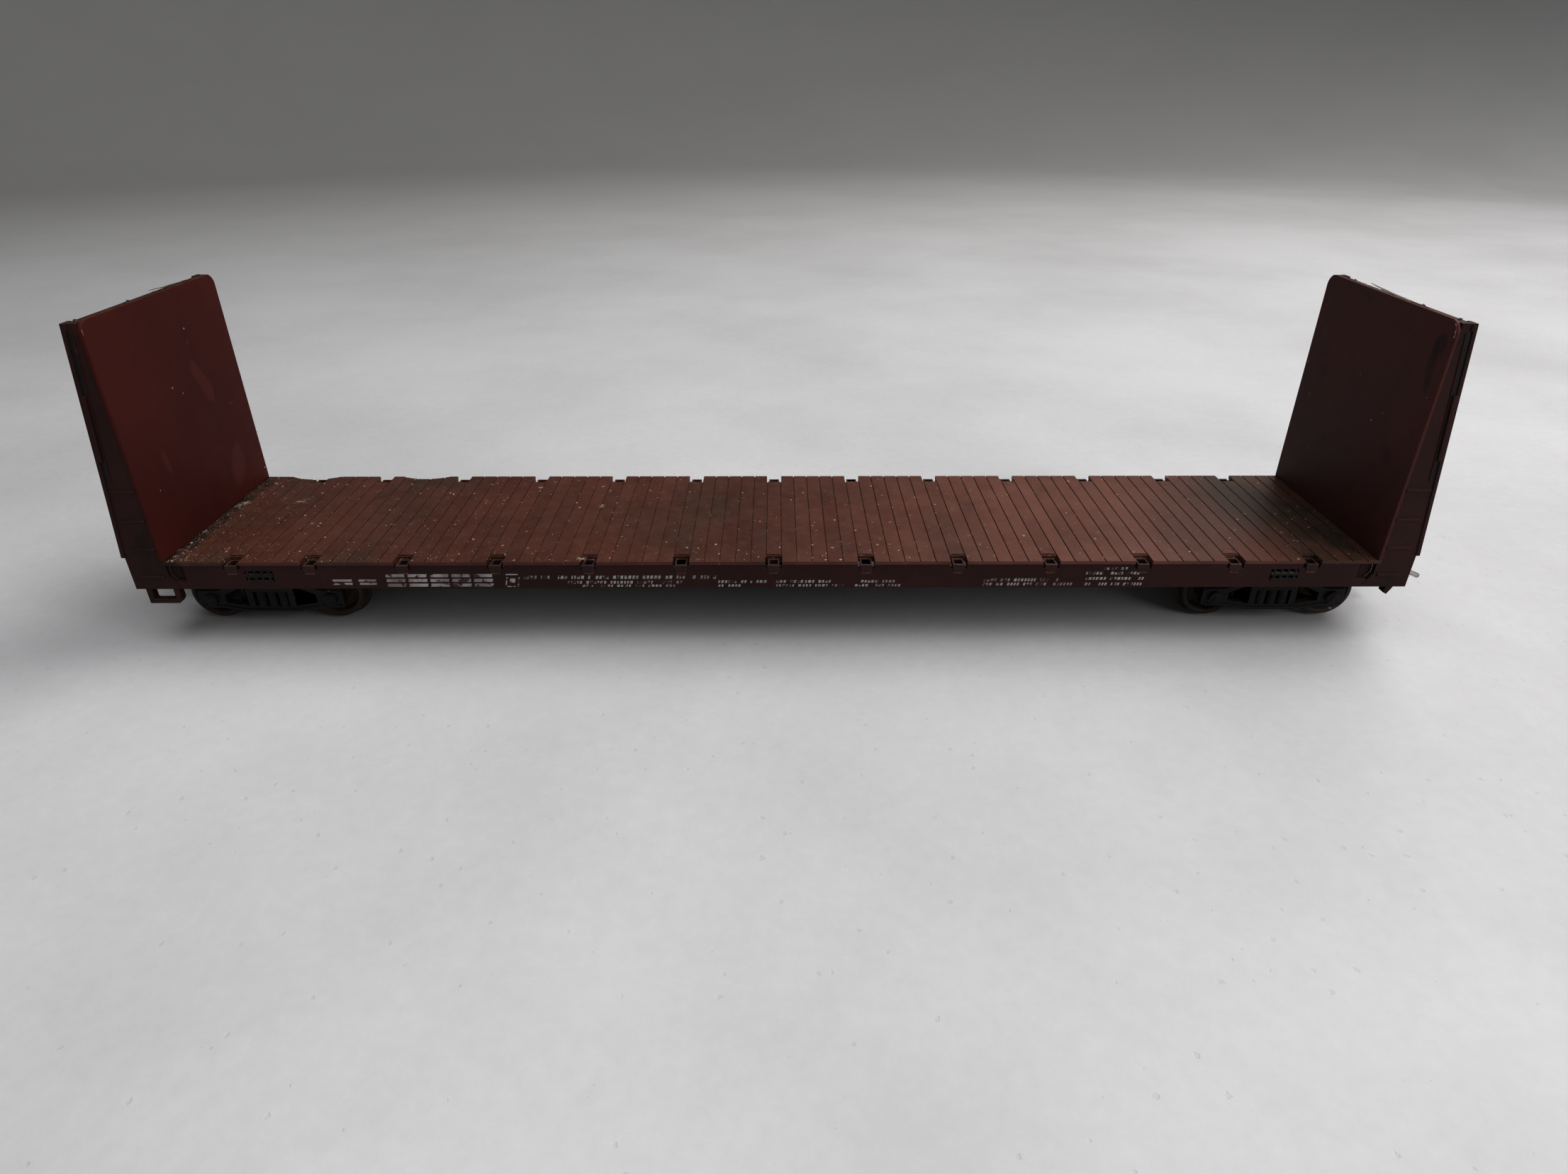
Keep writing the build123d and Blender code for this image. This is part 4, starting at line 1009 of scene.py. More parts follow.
class Finish(Enum):
    """Every finish on the car and its stand."""

    DECK = DeckPlastic(
        "deck_paint", (0.062, 0.0185, 0.0125), (0.108, 0.036, 0.024), edge=(0.20, 0.085, 0.06),
        grime_amount=0.42, speck_share=0.16, dust=0.05, edge_width=0.1, edge_amount=0.5,
        roughness=0.47, specular=0.25,
    )
    BODY = Plastic(
        "body_paint", (0.027, 0.0098, 0.0088), (0.038, 0.0130, 0.0115), edge=(0.10, 0.046, 0.038),
        specular=0.17,
    )
    POCKET = Plastic(
        "pocket_paint", (0.030, 0.0125, 0.0115), (0.042, 0.017, 0.015), edge=(0.26, 0.13, 0.10),
        edge_width=0.16, edge_amount=0.75, speck_share=0.12,
    )
    SHEET_LEFT = SheetPlastic(
        "left_sheet_paint", (0.042, 0.0088, 0.0066), (0.074, 0.0140, 0.0105), grime_amount=0.38,
        speck_share=0.02, edge=(0.17, 0.065, 0.05), roughness=0.55, specular=0.1,
        smears=(
            (6.5, 38.4, 1.5, 4.6, 24.0), (9.6, 22.2, 2.2, 4.6, -22.0), (-9.6, 30.0, 0.7, 2.6, 10.0),
        ),
    )
    SHEET_RIGHT = SheetPlastic(
        "right_sheet_paint", (0.052, 0.0215, 0.0195), (0.082, 0.0250, 0.0205), grime_amount=0.45,
        speck_share=0.015, edge=(0.17, 0.075, 0.06), smear=(0.015, 0.009, 0.0085),
        shift=(0.3, 0.21, 0.05), roughness=0.55, specular=0.12,
        smears=((-15.3, 47.6, 1.0, 4.2, -6.0), (-15.9, 50.8, 1.3, 1.7, 0.0)),
    )
    BLACK = Plastic(
        "black_plastic", (0.0075, 0.0075, 0.008), (0.014, 0.013, 0.013), edge=(0.07, 0.068, 0.066),
        grime=(0.03, 0.024, 0.018), grime_amount=0.45, dust=0.22, speck_share=0.1, roughness=0.48,
    )
    COUPLER = Plastic(
        "coupler_plastic", (0.016, 0.014, 0.013), (0.03, 0.024, 0.02), edge=(0.09, 0.08, 0.07),
        grime=(0.07, 0.04, 0.02), grime_amount=0.42, dust=0.15, roughness=0.4,
    )
    WHEEL = Plastic(
        "wheel_plastic", (0.030, 0.022, 0.016), (0.052, 0.036, 0.025), edge=(0.12, 0.10, 0.08),
        grime=(0.012, 0.010, 0.009), grime_amount=0.5, dust=0.2, speck_share=0.1, roughness=0.42,
    )
    STEEL = Metal("dull_steel", (0.42, 0.41, 0.40), (0.12, 0.10, 0.085))
    BRONZE = Metal("spring_bronze", (0.50, 0.30, 0.13), (0.14, 0.085, 0.05))
    MARKS = WornPaint("worn_marking_paint", (0.38, 0.36, 0.35), (0.030, 0.012, 0.011), worn=0.48)
    RUB = WornPaint("rubbed_corner", (0.36, 0.26, 0.23), (0.09, 0.04, 0.035), worn=0.5)
    LINT = Lint("dust_crumbs", (0.50, 0.41, 0.32), (0.19, 0.12, 0.085))
    GLUE = Plastic(
        "old_glue", (0.020, 0.013, 0.011), (0.07, 0.045, 0.035), edge=(0.20, 0.14, 0.11),
        grime_amount=0.5, edge_width=0.1, edge_amount=0.6, speck_share=0.2, roughness=0.35,
        grain_depth=0.03,
    )
    FLOOR = Plaster("pale_tabletop", (0.575, 0.57, 0.58), (0.43, 0.425, 0.43), (0.36, 0.356, 0.348))


# ---------------------------------------------------------------- putting pieces on the car


class Kit:
    """The loaded frame and the finishes, and how pieces join them."""

    def __init__(self) -> None:
        """Loads the frame and builds the finishes."""
        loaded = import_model()
        self.nodes: dict[str, Object] = loaded["nodes"]
        self.body_of = {name: node["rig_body"] for name, node in self.nodes.items()}
        self.effects = Effects()
        self.materials = {finish: finish.value.material(self.effects) for finish in Finish}

    def box(self, node: str) -> tuple[Array, Array]:
        """Lowest and highest corner of a CAD node, in millimetres."""
        low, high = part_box(node)
        return np.array(low) / MM, np.array(high) / MM

    def place(
        self, mesh: bpy.types.Mesh, body: str, slot: Slot, finish: Finish, replaces: tuple = ()
    ) -> Object:
        """Makes a finished piece of a mesh.

        Args:
            mesh: the mesh, in place in metres; the piece takes its name.
            body: the CAD body that it rides on.
            slot: the record's material slot; not used.
            finish: what it is dressed with.
            replaces: CAD nodes that it stands for.

        Returns:
            The piece.
        """
        piece = bpy.data.objects.new(mesh.name, mesh)
        bpy.context.scene.collection.objects.link(piece)
        mesh.materials.clear()
        mesh.materials.append(self.materials[finish])
        mesh.shade_smooth()
        mesh.set_sharp_from_angle(angle=math.radians(CREASE))
        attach(piece, body)
        if replaces:
            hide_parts(*replaces)
        LOG.info("%s rides on %s: %d faces", piece.name, body, len(mesh.polygons))
        return piece

    def soften(
        self,
        node: str,
        name: str,
        slot: Slot,
        finish: Finish,
        width: float = 0.08,
        segments: int = 2,
    ) -> Object:
        """Puts a copy of a CAD node with rounded edges in the node's place.

        Args:
            node: the CAD node.
            name: the new piece's name.
            slot: the record's material slot.
            finish: what it is dressed with.
            width: width of the rounding, in millimetres.
            segments: steps across the rounding.

        Returns:
            The piece.
        """
        source = self.nodes[node].data
        points = np.empty(len(source.vertices) * 3)
        source.vertices.foreach_get("co", points)
        source.calc_loop_triangles()
        corners = np.empty(len(source.loop_triangles) * 3, int)
        source.loop_triangles.foreach_get("vertices", corners)
        mesh = bpy.data.meshes.new(name)
        mesh.from_pydata(points.reshape(-1, 3).tolist(), [], corners.reshape(-1, 3).tolist())
        work = bmesh.new()
        work.from_mesh(mesh)
        bmesh.ops.remove_doubles(work, verts=work.verts, dist=1e-6)
        bmesh.ops.dissolve_degenerate(work, edges=work.edges, dist=1e-6)
        bmesh.ops.dissolve_limit(
            work, angle_limit=math.radians(0.5), verts=work.verts, edges=work.edges
        )
        work.to_mesh(mesh)
        work.free()
        piece = self.place(mesh, self.body_of[node], slot, finish, (node,))
        bevel = piece.modifiers.new("rounded_edges", "BEVEL")
        bevel.width, bevel.segments = width * MM, segments
        bevel.limit_method, bevel.angle_limit = "ANGLE", math.radians(CREASE)
        bevel.miter_outer = "MITER_ARC"
        weighted = piece.modifiers.new("flat_faces", "WEIGHTED_NORMAL")
        weighted.keep_sharp = True
        return piece

    def dress(self, node: str, finish: Finish) -> None:
        """Gives a CAD node that stays a better finish."""
        mesh = self.nodes[node].data
        mesh.materials.clear()
        mesh.materials.append(self.materials[finish])


# ---------------------------------------------------------------- sub-assemblies


@dataclass
class PlankDeck:
    """The deck, the moulding rings on its planks, and the dust that lies on it."""

    kit: Kit
    random: np.random.Generator
    ring_radius: float = 0.9
    ring_inset: float = 3.75
    ring_thick: float = 0.055
    ringed_planks: tuple[int, ...] = (-30, -18, -6, 6, 18, 30)
    crumbs: int = 3000
    crumb_radius: float = 0.022
    crumb_spread: float = 0.034
    rare_crumb_spread: float = 0.11
    # how far dust reaches from the bulkhead's foot, in a heap and in a drift, and from the edge
    heap_reach: float = 1.6
    drift_reach: float = 16.0
    edge_reach: float = 2.0
    edge_share: float = 0.18
    fibres: int = 120
    fibre_radius: float = 0.016
    tuft_fibres: int = 30
    tuft_radius: float = 0.02
    # place along and across the deck, and reach, of each tuft
    tufts: tuple[tuple[float, float, float], ...] = (
        (-31.8, 3.8, 1.0), (-31.5, -17.4, 1.3), (-44.8, 12.7, 0.6), (-81.7, -3.5, 0.5),
        (-87.6, 6.2, 1.6), (-98.0, 4.7, 1.5), (-97.6, 5.6, 1.2),
    )
    rim: float = 0.35

    def build(self) -> None:
        """Builds the deck's pieces."""
        low, high = self.kit.box("deck")
        self.top, self.half_width = high[2], high[1]
        self.half_length = self.kit.box("bulkhead_sheet_right")[0][0]
        self.kit.soften("deck", "deck_boards", Slot.DECK, Finish.DECK, width=0.045)
        self.rings()
        self.crumb_layer()
        self.fibre_layer()

    def rings(self) -> None:
        """Moulding rings: a half-round bead turned about an upright axis beside some pockets."""
        piece = Piece("deck_moulding_rings")
        angle = np.linspace(0, np.pi, 5)
        bead = np.stack([np.cos(angle), np.sin(angle)], -1) * self.ring_thick
        bead += (self.ring_radius, 0)
        closed = np.concatenate([bead, [[self.ring_radius, -0.02]], bead[:1]])
        across = self.half_width - self.ring_inset
        for plank in self.ringed_planks:
            for side in Side:
                centre = (plank * PLANK_PITCH, side.value * across, self.top)
                piece.add(lathed(closed, centre, (0, 0, 1), 28), caps=False)
        self.kit.place(piece.mesh(), "car", Slot.DECK, Finish.DECK)

    def scattered(self, count: int) -> Array:
        """Random places on the deck, thicker at the left bulkhead's foot and the near edge.

        Args:
            count: how many.

        Returns:
            Places along and across the deck, one row each.
        """
        span = np.array([self.half_length, self.half_width]) - self.rim
        places = self.random.uniform(-1, 1, (count, 2)) * span
        part = count // 7
        places[:part, 0] = -span[0] + self.random.exponential(self.heap_reach, part)
        places[part : 2 * part, 0] = -span[0] + self.random.exponential(self.drift_reach, part)
        edge = self.random.random(count) < self.edge_share
        places[edge, 1] = -span[1] + self.random.exponential(self.edge_reach, int(edge.sum()))
        return np.clip(places, -span, span)

    def crumb_layer(self) -> None:
        """Dust crumbs: squashed balls of 4 by 5 points, each point moved in or out at random."""
        rows, columns = 4, 5
        lift = np.linspace(-0.5, 0.5, rows) * np.pi * 0.8
        ball = np.stack(
            [
                np.cos(lift)[:, None] * turned(columns)[:, 0],
                np.cos(lift)[:, None] * turned(columns)[:, 1],
                np.broadcast_to(np.sin(lift)[:, None] * 0.55, (rows, columns)),
            ],
            axis=-1,
        )
        places = self.scattered(self.crumbs)
        size = self.crumb_radius + self.crumb_spread * self.random.random(self.crumbs)
        size = size + self.rare_crumb_spread * self.random.random(self.crumbs) ** 14
        jitter = self.random.uniform(0.6, 1.35, (self.crumbs, rows, columns, 1))
        stretch = self.random.uniform(0.6, 1.6, (self.crumbs, 1, 1, 2))
        grids = ball[None] * jitter * size[:, None, None, None]
        grids[..., :2] *= stretch
        grids[..., :2] += places[:, None, None]
        grids[..., 2] += self.top + size[:, None, None] * 0.2
        piece = Piece("deck_dust_crumbs")
        for grid in grids:
            piece.add(grid)
        self.kit.place(piece.mesh(), "car", Slot.DECK, Finish.LINT)

    def fibre_layer(self) -> None:
        """Dust fibres and tufts: thin tubes whose heading turns steadily along them."""
        piece = Piece("deck_dust_fibres")
        for x, y in self.scattered(self.fibres):
            self.fibre(piece, (x, y), self.random.uniform(0.4, 1.5), self.fibre_radius)
        for x, y, reach in self.tufts:
            for _ in range(self.tuft_fibres):
                length = reach * self.random.uniform(0.2, 0.95)
                self.fibre(piece, (x, y), length, self.tuft_radius)
        self.kit.place(piece.mesh(), "car", Slot.DECK, Finish.LINT)

    def fibre(self, piece: Piece, start: tuple[float, float], length: float, radius: float) -> None:
        """Adds one fibre that leaves its start in a random direction, close over the planks.

        Args:
            piece: the piece that it joins.
            start: its place along and across the deck.
            length: its length.
            radius: its radius.
        """
        steps = 6
        first = self.random.uniform(0, 2 * np.pi)
        heading = first + np.linspace(0, self.random.uniform(-1.6, 1.6), steps)
        stride = np.stack([np.cos(heading), np.sin(heading)], -1) * length / steps
        flat = np.array(start) + np.cumsum(stride, axis=0)
        limit = np.array([self.half_length, self.half_width])
        flat = np.clip(flat, -limit, limit)
        arch = self.random.uniform(0, 0.25) * length * np.sin(np.linspace(0, np.pi, steps))
        height = self.top + radius + arch
        piece.add(tube(np.column_stack([flat, height]), radius, (0, 0, 1), 4))


@dataclass
class SideSills:
    """Side sills, stake pockets, winches, and the plain marks that stand for the painted data."""

    kit: Kit
    random: np.random.Generator
    mark_thick: float = 0.012
    mark_gap: float = 0.21
    slant: float = 0.22
    bar_share: float = 0.66
    row_share: float = 0.85
    # start, width, foot and height of each barred block, and its number of bars
    barred: tuple[tuple[float, float, float, float, int], ...] = (
        (-72.9, 3.2, 11.45, 1.25, 2), (-68.6, 2.9, 11.45, 1.25, 2), (-63.95, 3.1, 11.05, 2.65, 3),
        (-60.35, 3.1, 11.05, 2.65, 3), (-56.75, 3.1, 11.05, 2.65, 3), (-53.15, 3.1, 11.05, 2.65, 3),
        (-49.55, 3.1, 11.05, 2.65, 3),
    )
    # start, end, foot and height of each row of small blocks
    rows: tuple[tuple[float, float, float, float], ...] = (
        (-41.3, -30.2, 12.55, 0.72), (-29.4, -9.4, 12.55, 0.72), (-34.1, -15.2, 11.65, 0.6),
        (-32.4, -15.0, 11.05, 0.5), (-9.2, -0.9, 11.75, 0.6), (-9.2, -3.8, 11.05, 0.5),
        (0.4, 9.5, 11.75, 0.6), (0.4, 11.9, 11.05, 0.5), (14.5, 20.6, 11.75, 0.6),
        (13.5, 21.6, 11.05, 0.5), (34.9, 47.3, 11.95, 0.62), (34.8, 50.1, 11.15, 0.62),
        (54.5, 58.7, 14.1, 0.55), (51.7, 61.2, 13.2, 0.6), (51.8, 61.8, 12.2, 0.6),
        (51.8, 61.3, 11.15, 0.6),
    )
    # middle, width and height of the four bars of a square outline, and of the block inside it
    outline: tuple[tuple[float, float, float, float], ...] = (
        (-43.2, 13.45, 2.0, 0.22), (-43.2, 11.2, 2.0, 0.22), (-44.2, 12.2, 0.22, 1.5),
        (-42.2, 12.2, 0.22, 1.5), (-43.2, 12.3, 0.9, 0.8),
    )

    def build(self) -> None:
        """Builds the pieces of both sides."""
        for side in Side:
            sill, pockets = f"side_sill_{side.word}", f"stake_pockets_{side.word}"
            self.kit.soften(sill, f"sill_{side.word}", Slot.BODY, Finish.BODY, 0.09)
            self.kit.soften(pockets, f"pockets_{side.word}", Slot.BODY, Finish.POCKET, 0.06)
            self.marks(side)
        self.kit.soften("winches", "winch_sets", Slot.BLACK, Finish.BLACK, 0.05)

    def marks(self, side: Side) -> None:
        """Plain blocks in the places of the painted data, laid out in rows of words.

        Args:
            side: which side of the car.
        """
        low, high = self.kit.box(f"side_sill_{side.word}")
        self.face = high[1] if side is Side.FAR else low[1]
        piece = Piece(f"plain_marks_{side.word}")
        flip = -side.value
        for start, width, foot, height, bars in self.barred:
            self.barred_block(piece, side, flip * (start + width / 2), width, foot, height, bars)
        for start, stop, foot, height in self.rows:
            self.row(piece, side, flip, start, stop, foot, height)
        for x, z, width, height in self.outline:
            self.block(piece, side, flip * x, width, z, height)
        self.kit.place(piece.mesh(), "car", Slot.BODY, Finish.MARKS)

    def block(
        self, piece: Piece, side: Side, x: float, width: float, z: float, height: float
    ) -> None:
        """Adds one thin block centred at x with its middle at height z.

        Args:
            piece: the piece that it joins.
            side: which side of the car.
            x, z: its middle.
            width, height: its size.
        """
        half = (width / 2, 0, height / 2)
        low = np.array([x, self.face - 0.01 * side.value, z]) - half
        high = np.array([x, self.face + self.mark_thick * side.value, z]) + half
        grid = rounded_block(low, high, 0.005)
        grid[..., 0] -= side.value * self.slant * (grid[..., 2] - z)
        piece.add(grid)

    def barred_block(
        self,
        piece: Piece,
        side: Side,
        x: float,
        width: float,
        foot: float,
        height: float,
        bars: int,
    ) -> None:
        """Adds a block cut into level bars."""
        pitch = height / bars
        for bar in range(bars):
            self.block(piece, side, x, width, foot + pitch * (bar + 0.5), pitch * self.bar_share)

    def row(
        self,
        piece: Piece,
        side: Side,
        flip: int,
        start: float,
        stop: float,
        foot: float,
        height: float,
    ) -> None:
        """Adds a row of small blocks in words of three to eight.

        Args:
            piece: the piece that they join.
            side: which side of the car.
            flip: sign of X along the row.
            start, stop: ends of the row.
            foot, height: its foot and its height.
        """
        x = start
        while x < stop:
            for _ in range(self.random.integers(3, 9)):
                width = self.random.uniform(0.26, 0.48)
                if x + width > stop:
                    break
                if self.random.random() > 0.08:
                    middle, tall = flip * (x + width / 2), self.row_share * height
                    self.block(piece, side, middle, width, foot + height / 2, tall)
                x += width + self.mark_gap
            x += 0.5


@dataclass(frozen=True)
class BulkheadWear:
    """What differs between the two bulkheads. Places are across the car, or across it and up."""

    finish: Finish
    # start, end and half width of each flattened strip of glue
    strips: tuple[tuple[float, float, float], ...]
    # place and radius of each knob of glue
    knobs: tuple[tuple[float, float], ...]
    # where the lifted sliver of glue starts and ends
    sliver: tuple[float, float]
    # line of the rubbed corner, and the half width of its flakes along it
    corner: tuple[tuple[float, float], ...]
    flakes: tuple[float, ...]


WEAR_OF = {
    End.LEFT: BulkheadWear(
        Finish.SHEET_LEFT,
        strips=((-15.5, -9.0, 0.28), (-8.0, -1.0, 0.42), (-0.6, 7.6, 0.5), (8.4, 11.8, 0.3)),
        knobs=((-3.5, 0.35), (7.0, 0.3), (-16.2, 0.34)),
        sliver=(1.0, 13.0),
        corner=((-18.15, 53.5), (-18.22, 53.2), (-18.2, 52.7)),
        flakes=(0.1, 0.14, 0.08),
    ),
    End.RIGHT: BulkheadWear(
        Finish.SHEET_RIGHT,
        strips=((1.5, 14.5, 0.42), (-4.0, 0.5, 0.34), (-12.8, -8.2, 0.26)),
        knobs=((13.2, 0.34), (-6.5, 0.36), (-15.6, 0.32), (4.8, 0.3)),
        sliver=(7.0, -5.0),
        corner=((-17.55, 54.2), (-17.95, 53.75), (-18.18, 53.2), (-18.2, 52.75), (-18.24, 52.3)),
        flakes=(0.1, 0.1, 0.16, 0.1, 0.22),
    ),
}


@dataclass
class Bulkhead:
    """One bulkhead: facing sheet, ribbed frame, rungs, crest, side channels darkened with painted
    shade, and back details.
    """

    kit: Kit
    end: End
    random: np.random.Generator
    plate_face: float = 18.2
    # distance from the middle of the car, and height, of the side plates' sloping edge
    edge_foot: tuple[float, float] = (105.6, 16.7)
    edge_top: tuple[float, float] = (101.8, 54.4)
    corner_block: tuple[float, float] = (53.2, 54.3)
    bolt_heights: tuple[float, ...] = (16.9, 22.1, 27.0)
    crest_x: float = 100.9
    crest_height: float = 54.32
    glue_flatness: float = 0.62
    sliver_x: float = 100.45
    sliver_height: float = 54.62
    sliver_rise: float = 0.5
    knob_x: float = 101.3
    sheet_face: float = 99.5
    web_back: float = 100.6
    rib_sides: tuple[float, ...] = (-16.3, -9.9, -7.5, -1.2, 1.2, 7.5, 9.9, 16.3)
    rivet_span: tuple[float, float] = (17.8, 52.6)
    shelf_heights: tuple[float, float] = (28.85, 41.35)
    shelf_gap: float = 0.65
    sill_rivet_heights: tuple[float, float] = (15.9, 13.6)
    sill_rivets: tuple[float, float, float] = (-16.2, 16.4, 1.8)
    draft_half_width: float = 4.4
    rivet_pitch: float = 1.45
    rivet_radius: float = 0.16
    # how far inside the plate's outer edge, foot, top, half width and height of each raised bead
    beads: tuple[tuple[float, float, float, float, float], ...] = (
        (0.92, 29.8, 53.0, 0.12, 0.14), (0.3, 33.3, 43.7, 0.36, 0.42),
    )
    # how far inside the plate's outer edge, foot, top and half width of the dark strip of painted
    # shade in the channel beside the outer flange
    channel: tuple[float, float, float, float] = (0.5, 29.8, 53.0, 0.3)

    def build(self) -> None:
        """Builds the bulkhead's pieces."""
        word = self.end.word
        self.wear = WEAR_OF[self.end]
        sheet, frame = f"bulkhead_sheet_{word}", f"bulkhead_frame_{word}"
        self.kit.soften(sheet, f"facing_sheet_{word}", Slot.SHEET, self.wear.finish, 0.14, 3)
        self.kit.soften(frame, f"ribbed_frame_{word}", Slot.BODY, Finish.BODY, 0.07)
        self.kit.soften(f"ladder_rungs_{word}", f"side_rungs_{word}", Slot.BODY, Finish.BODY, 0.07)
        self.channels()
        self.crest()
        self.rubbed_corners()
        self.back_rivets()

    def out(self, x: float) -> float:
        """A distance from the middle of the car, at this end."""
        return self.end.value * x

    def outer(self, height: float) -> float:
        """Distance from the middle of the car to the sloping outer edge of a side plate."""
        (foot_x, foot), (top_x, top) = self.edge_foot, self.edge_top
        return foot_x + (top_x - foot_x) * (height - foot) / (top - foot)

    def inside(self, inset: float, face: float, height: float) -> tuple[float, float, float]:
        """A point on a side plate's face, this far inside its outer edge."""
        return self.out(self.outer(height) - inset), face, height

    def channels(self) -> None:
        """Beads down both side plates inside the outer flange, a strip of painted shade in the
        channel beside each flange, and a corner block at the top.
        """
        piece, shade_strips = Piece(f"side_beads_{self.end.word}"), Piece(f"side_channels_{self.end.word}")
        for side in Side:
            face = side.value * self.plate_face
            for inset, *heights, half, proud in self.beads:
                ends = [self.inside(inset, face, height) for height in heights]
                piece.add(rounded_bar(*ends, (half, proud), 0.08, (0, 1, 0)))
            # a near-black strip of painted shade along the channel floor
            inset, *heights, half = self.channel
            ends = [self.inside(inset, face, height) for height in heights]
            shade_strips.add(rounded_bar(*ends, (half, 0.03), 0.02, (0, 1, 0)))
            foot, top = self.corner_block
            low = (self.out(self.outer(foot) - 0.5), face - 0.3 * side.value, foot)
            high = (self.out(self.outer(foot) + 0.3), face + 0.22 * side.value, top)
            piece.add(rounded_block(low, high, 0.2))
            for height in self.bolt_heights:
                bolt = self.inside(0.45, face, height)
                piece.add(dome(bolt, (0, side.value, 0), 0.17, 0.16))
        self.kit.place(piece.mesh(), "car", Slot.BODY, Finish.BODY)
        self.kit.place(shade_strips.mesh(), "car", Slot.BODY, Finish.BLACK)

    def crest(self) -> None:
        """Old glue along the top edge: flattened strips whose line and width wander."""
        piece = Piece(f"crest_glue_{self.end.word}")
        for start, stop, thick in self.wear.strips:
            steps = int((stop - start) * 5)
            y = np.linspace(start, stop, steps)
            wander = np.cumsum(self.random.normal(0, 0.05, steps))
            wander -= np.linspace(wander[0], wander[-1], steps)
            x = self.out(self.crest_x) + np.clip(wander, -0.35, 0.35)
            taper = np.sqrt(np.sin(np.linspace(0.08, np.pi - 0.08, steps)))
            swell = thick * (0.55 + 0.45 * self.random.random(steps)) * taper
            path = np.column_stack([x, y, np.full(steps, self.crest_height)])
            piece.add(carried(turned(10) * (1.0, self.glue_flatness), path, (0, 0, 1), swell))
        # a lifted sliver whose far end stands clear of the edge
        start, stop = self.wear.sliver
        share = np.linspace(0, 1, 16)
        rise = self.sliver_rise * (1 - share) ** 2 + self.random.normal(0, 0.02, 16)
        sliver = np.column_stack(
            [
                self.out(self.sliver_x) + self.out(0.3) * share,
                start + (stop - start) * share,
                self.sliver_height + rise,
            ]
        )
        swell = 0.32 * np.sin(0.35 + 2.5 * share)
        piece.add(carried(turned(8) * (1.0, 0.14), sliver, (0, 0, 1), swell))
        for y, size in self.wear.knobs:
            place = (self.out(self.knob_x), y, self.crest_height - 0.02)
            grid = dome(place, (0, 0, 1), size, size * 0.8, 9, 4)
            piece.add(grid + self.random.normal(0, 0.03, grid.shape))
        self.kit.place(piece.mesh(), "car", Slot.BODY, Finish.GLUE)

    def rubbed_corners(self) -> None:
        """Rubbed patches at the sheet's near top corner: thin flakes that follow its edge."""
        piece = Piece(f"rubbed_corner_{self.end.word}")
        corner, sizes = np.array(self.wear.corner), self.wear.flakes
        path = np.column_stack([np.full(len(corner), self.out(self.sheet_face)), corner])
        flake = rounded(path, 0.3, 4)
        width = np.interp(np.linspace(0, 1, len(flake)), np.linspace(0, 1, len(sizes)), sizes)
        width = width * self.random.uniform(0.7, 1.2, len(flake))
        piece.add(carried(turned(10) * (0.14, 1.0), flake, (1, 0, 0), width))
        self.kit.place(piece.mesh(), "car", Slot.SHEET, Finish.RUB)

    def back_rivets(self) -> None:
        """Rivet rows on the back web beside the ribs and along the end sill."""
        piece = Piece(f"back_rivets_{self.end.word}")
        away = (self.end.value, 0, 0)
        heights = np.arange(*self.rivet_span, self.rivet_pitch)
        for across in self.rib_sides:
            for height in heights:
                if min(abs(height - shelf) for shelf in self.shelf_heights) > self.shelf_gap:
                    place = (self.out(self.web_back), across, height)
                    piece.add(dome(place, away, self.rivet_radius, 0.12, 6))
        end_face = self.out(self.edge_foot[0])
        upper, lower = self.sill_rivet_heights
        for across in np.arange(*self.sill_rivets):
            piece.add(dome((end_face, across, upper), away, 0.2, 0.14, 8))
            if abs(across) > self.draft_half_width:
                piece.add(dome((end_face, across, lower), away, 0.2, 0.14, 8))
        self.kit.place(piece.mesh(), "car", Slot.BODY, Finish.BODY)


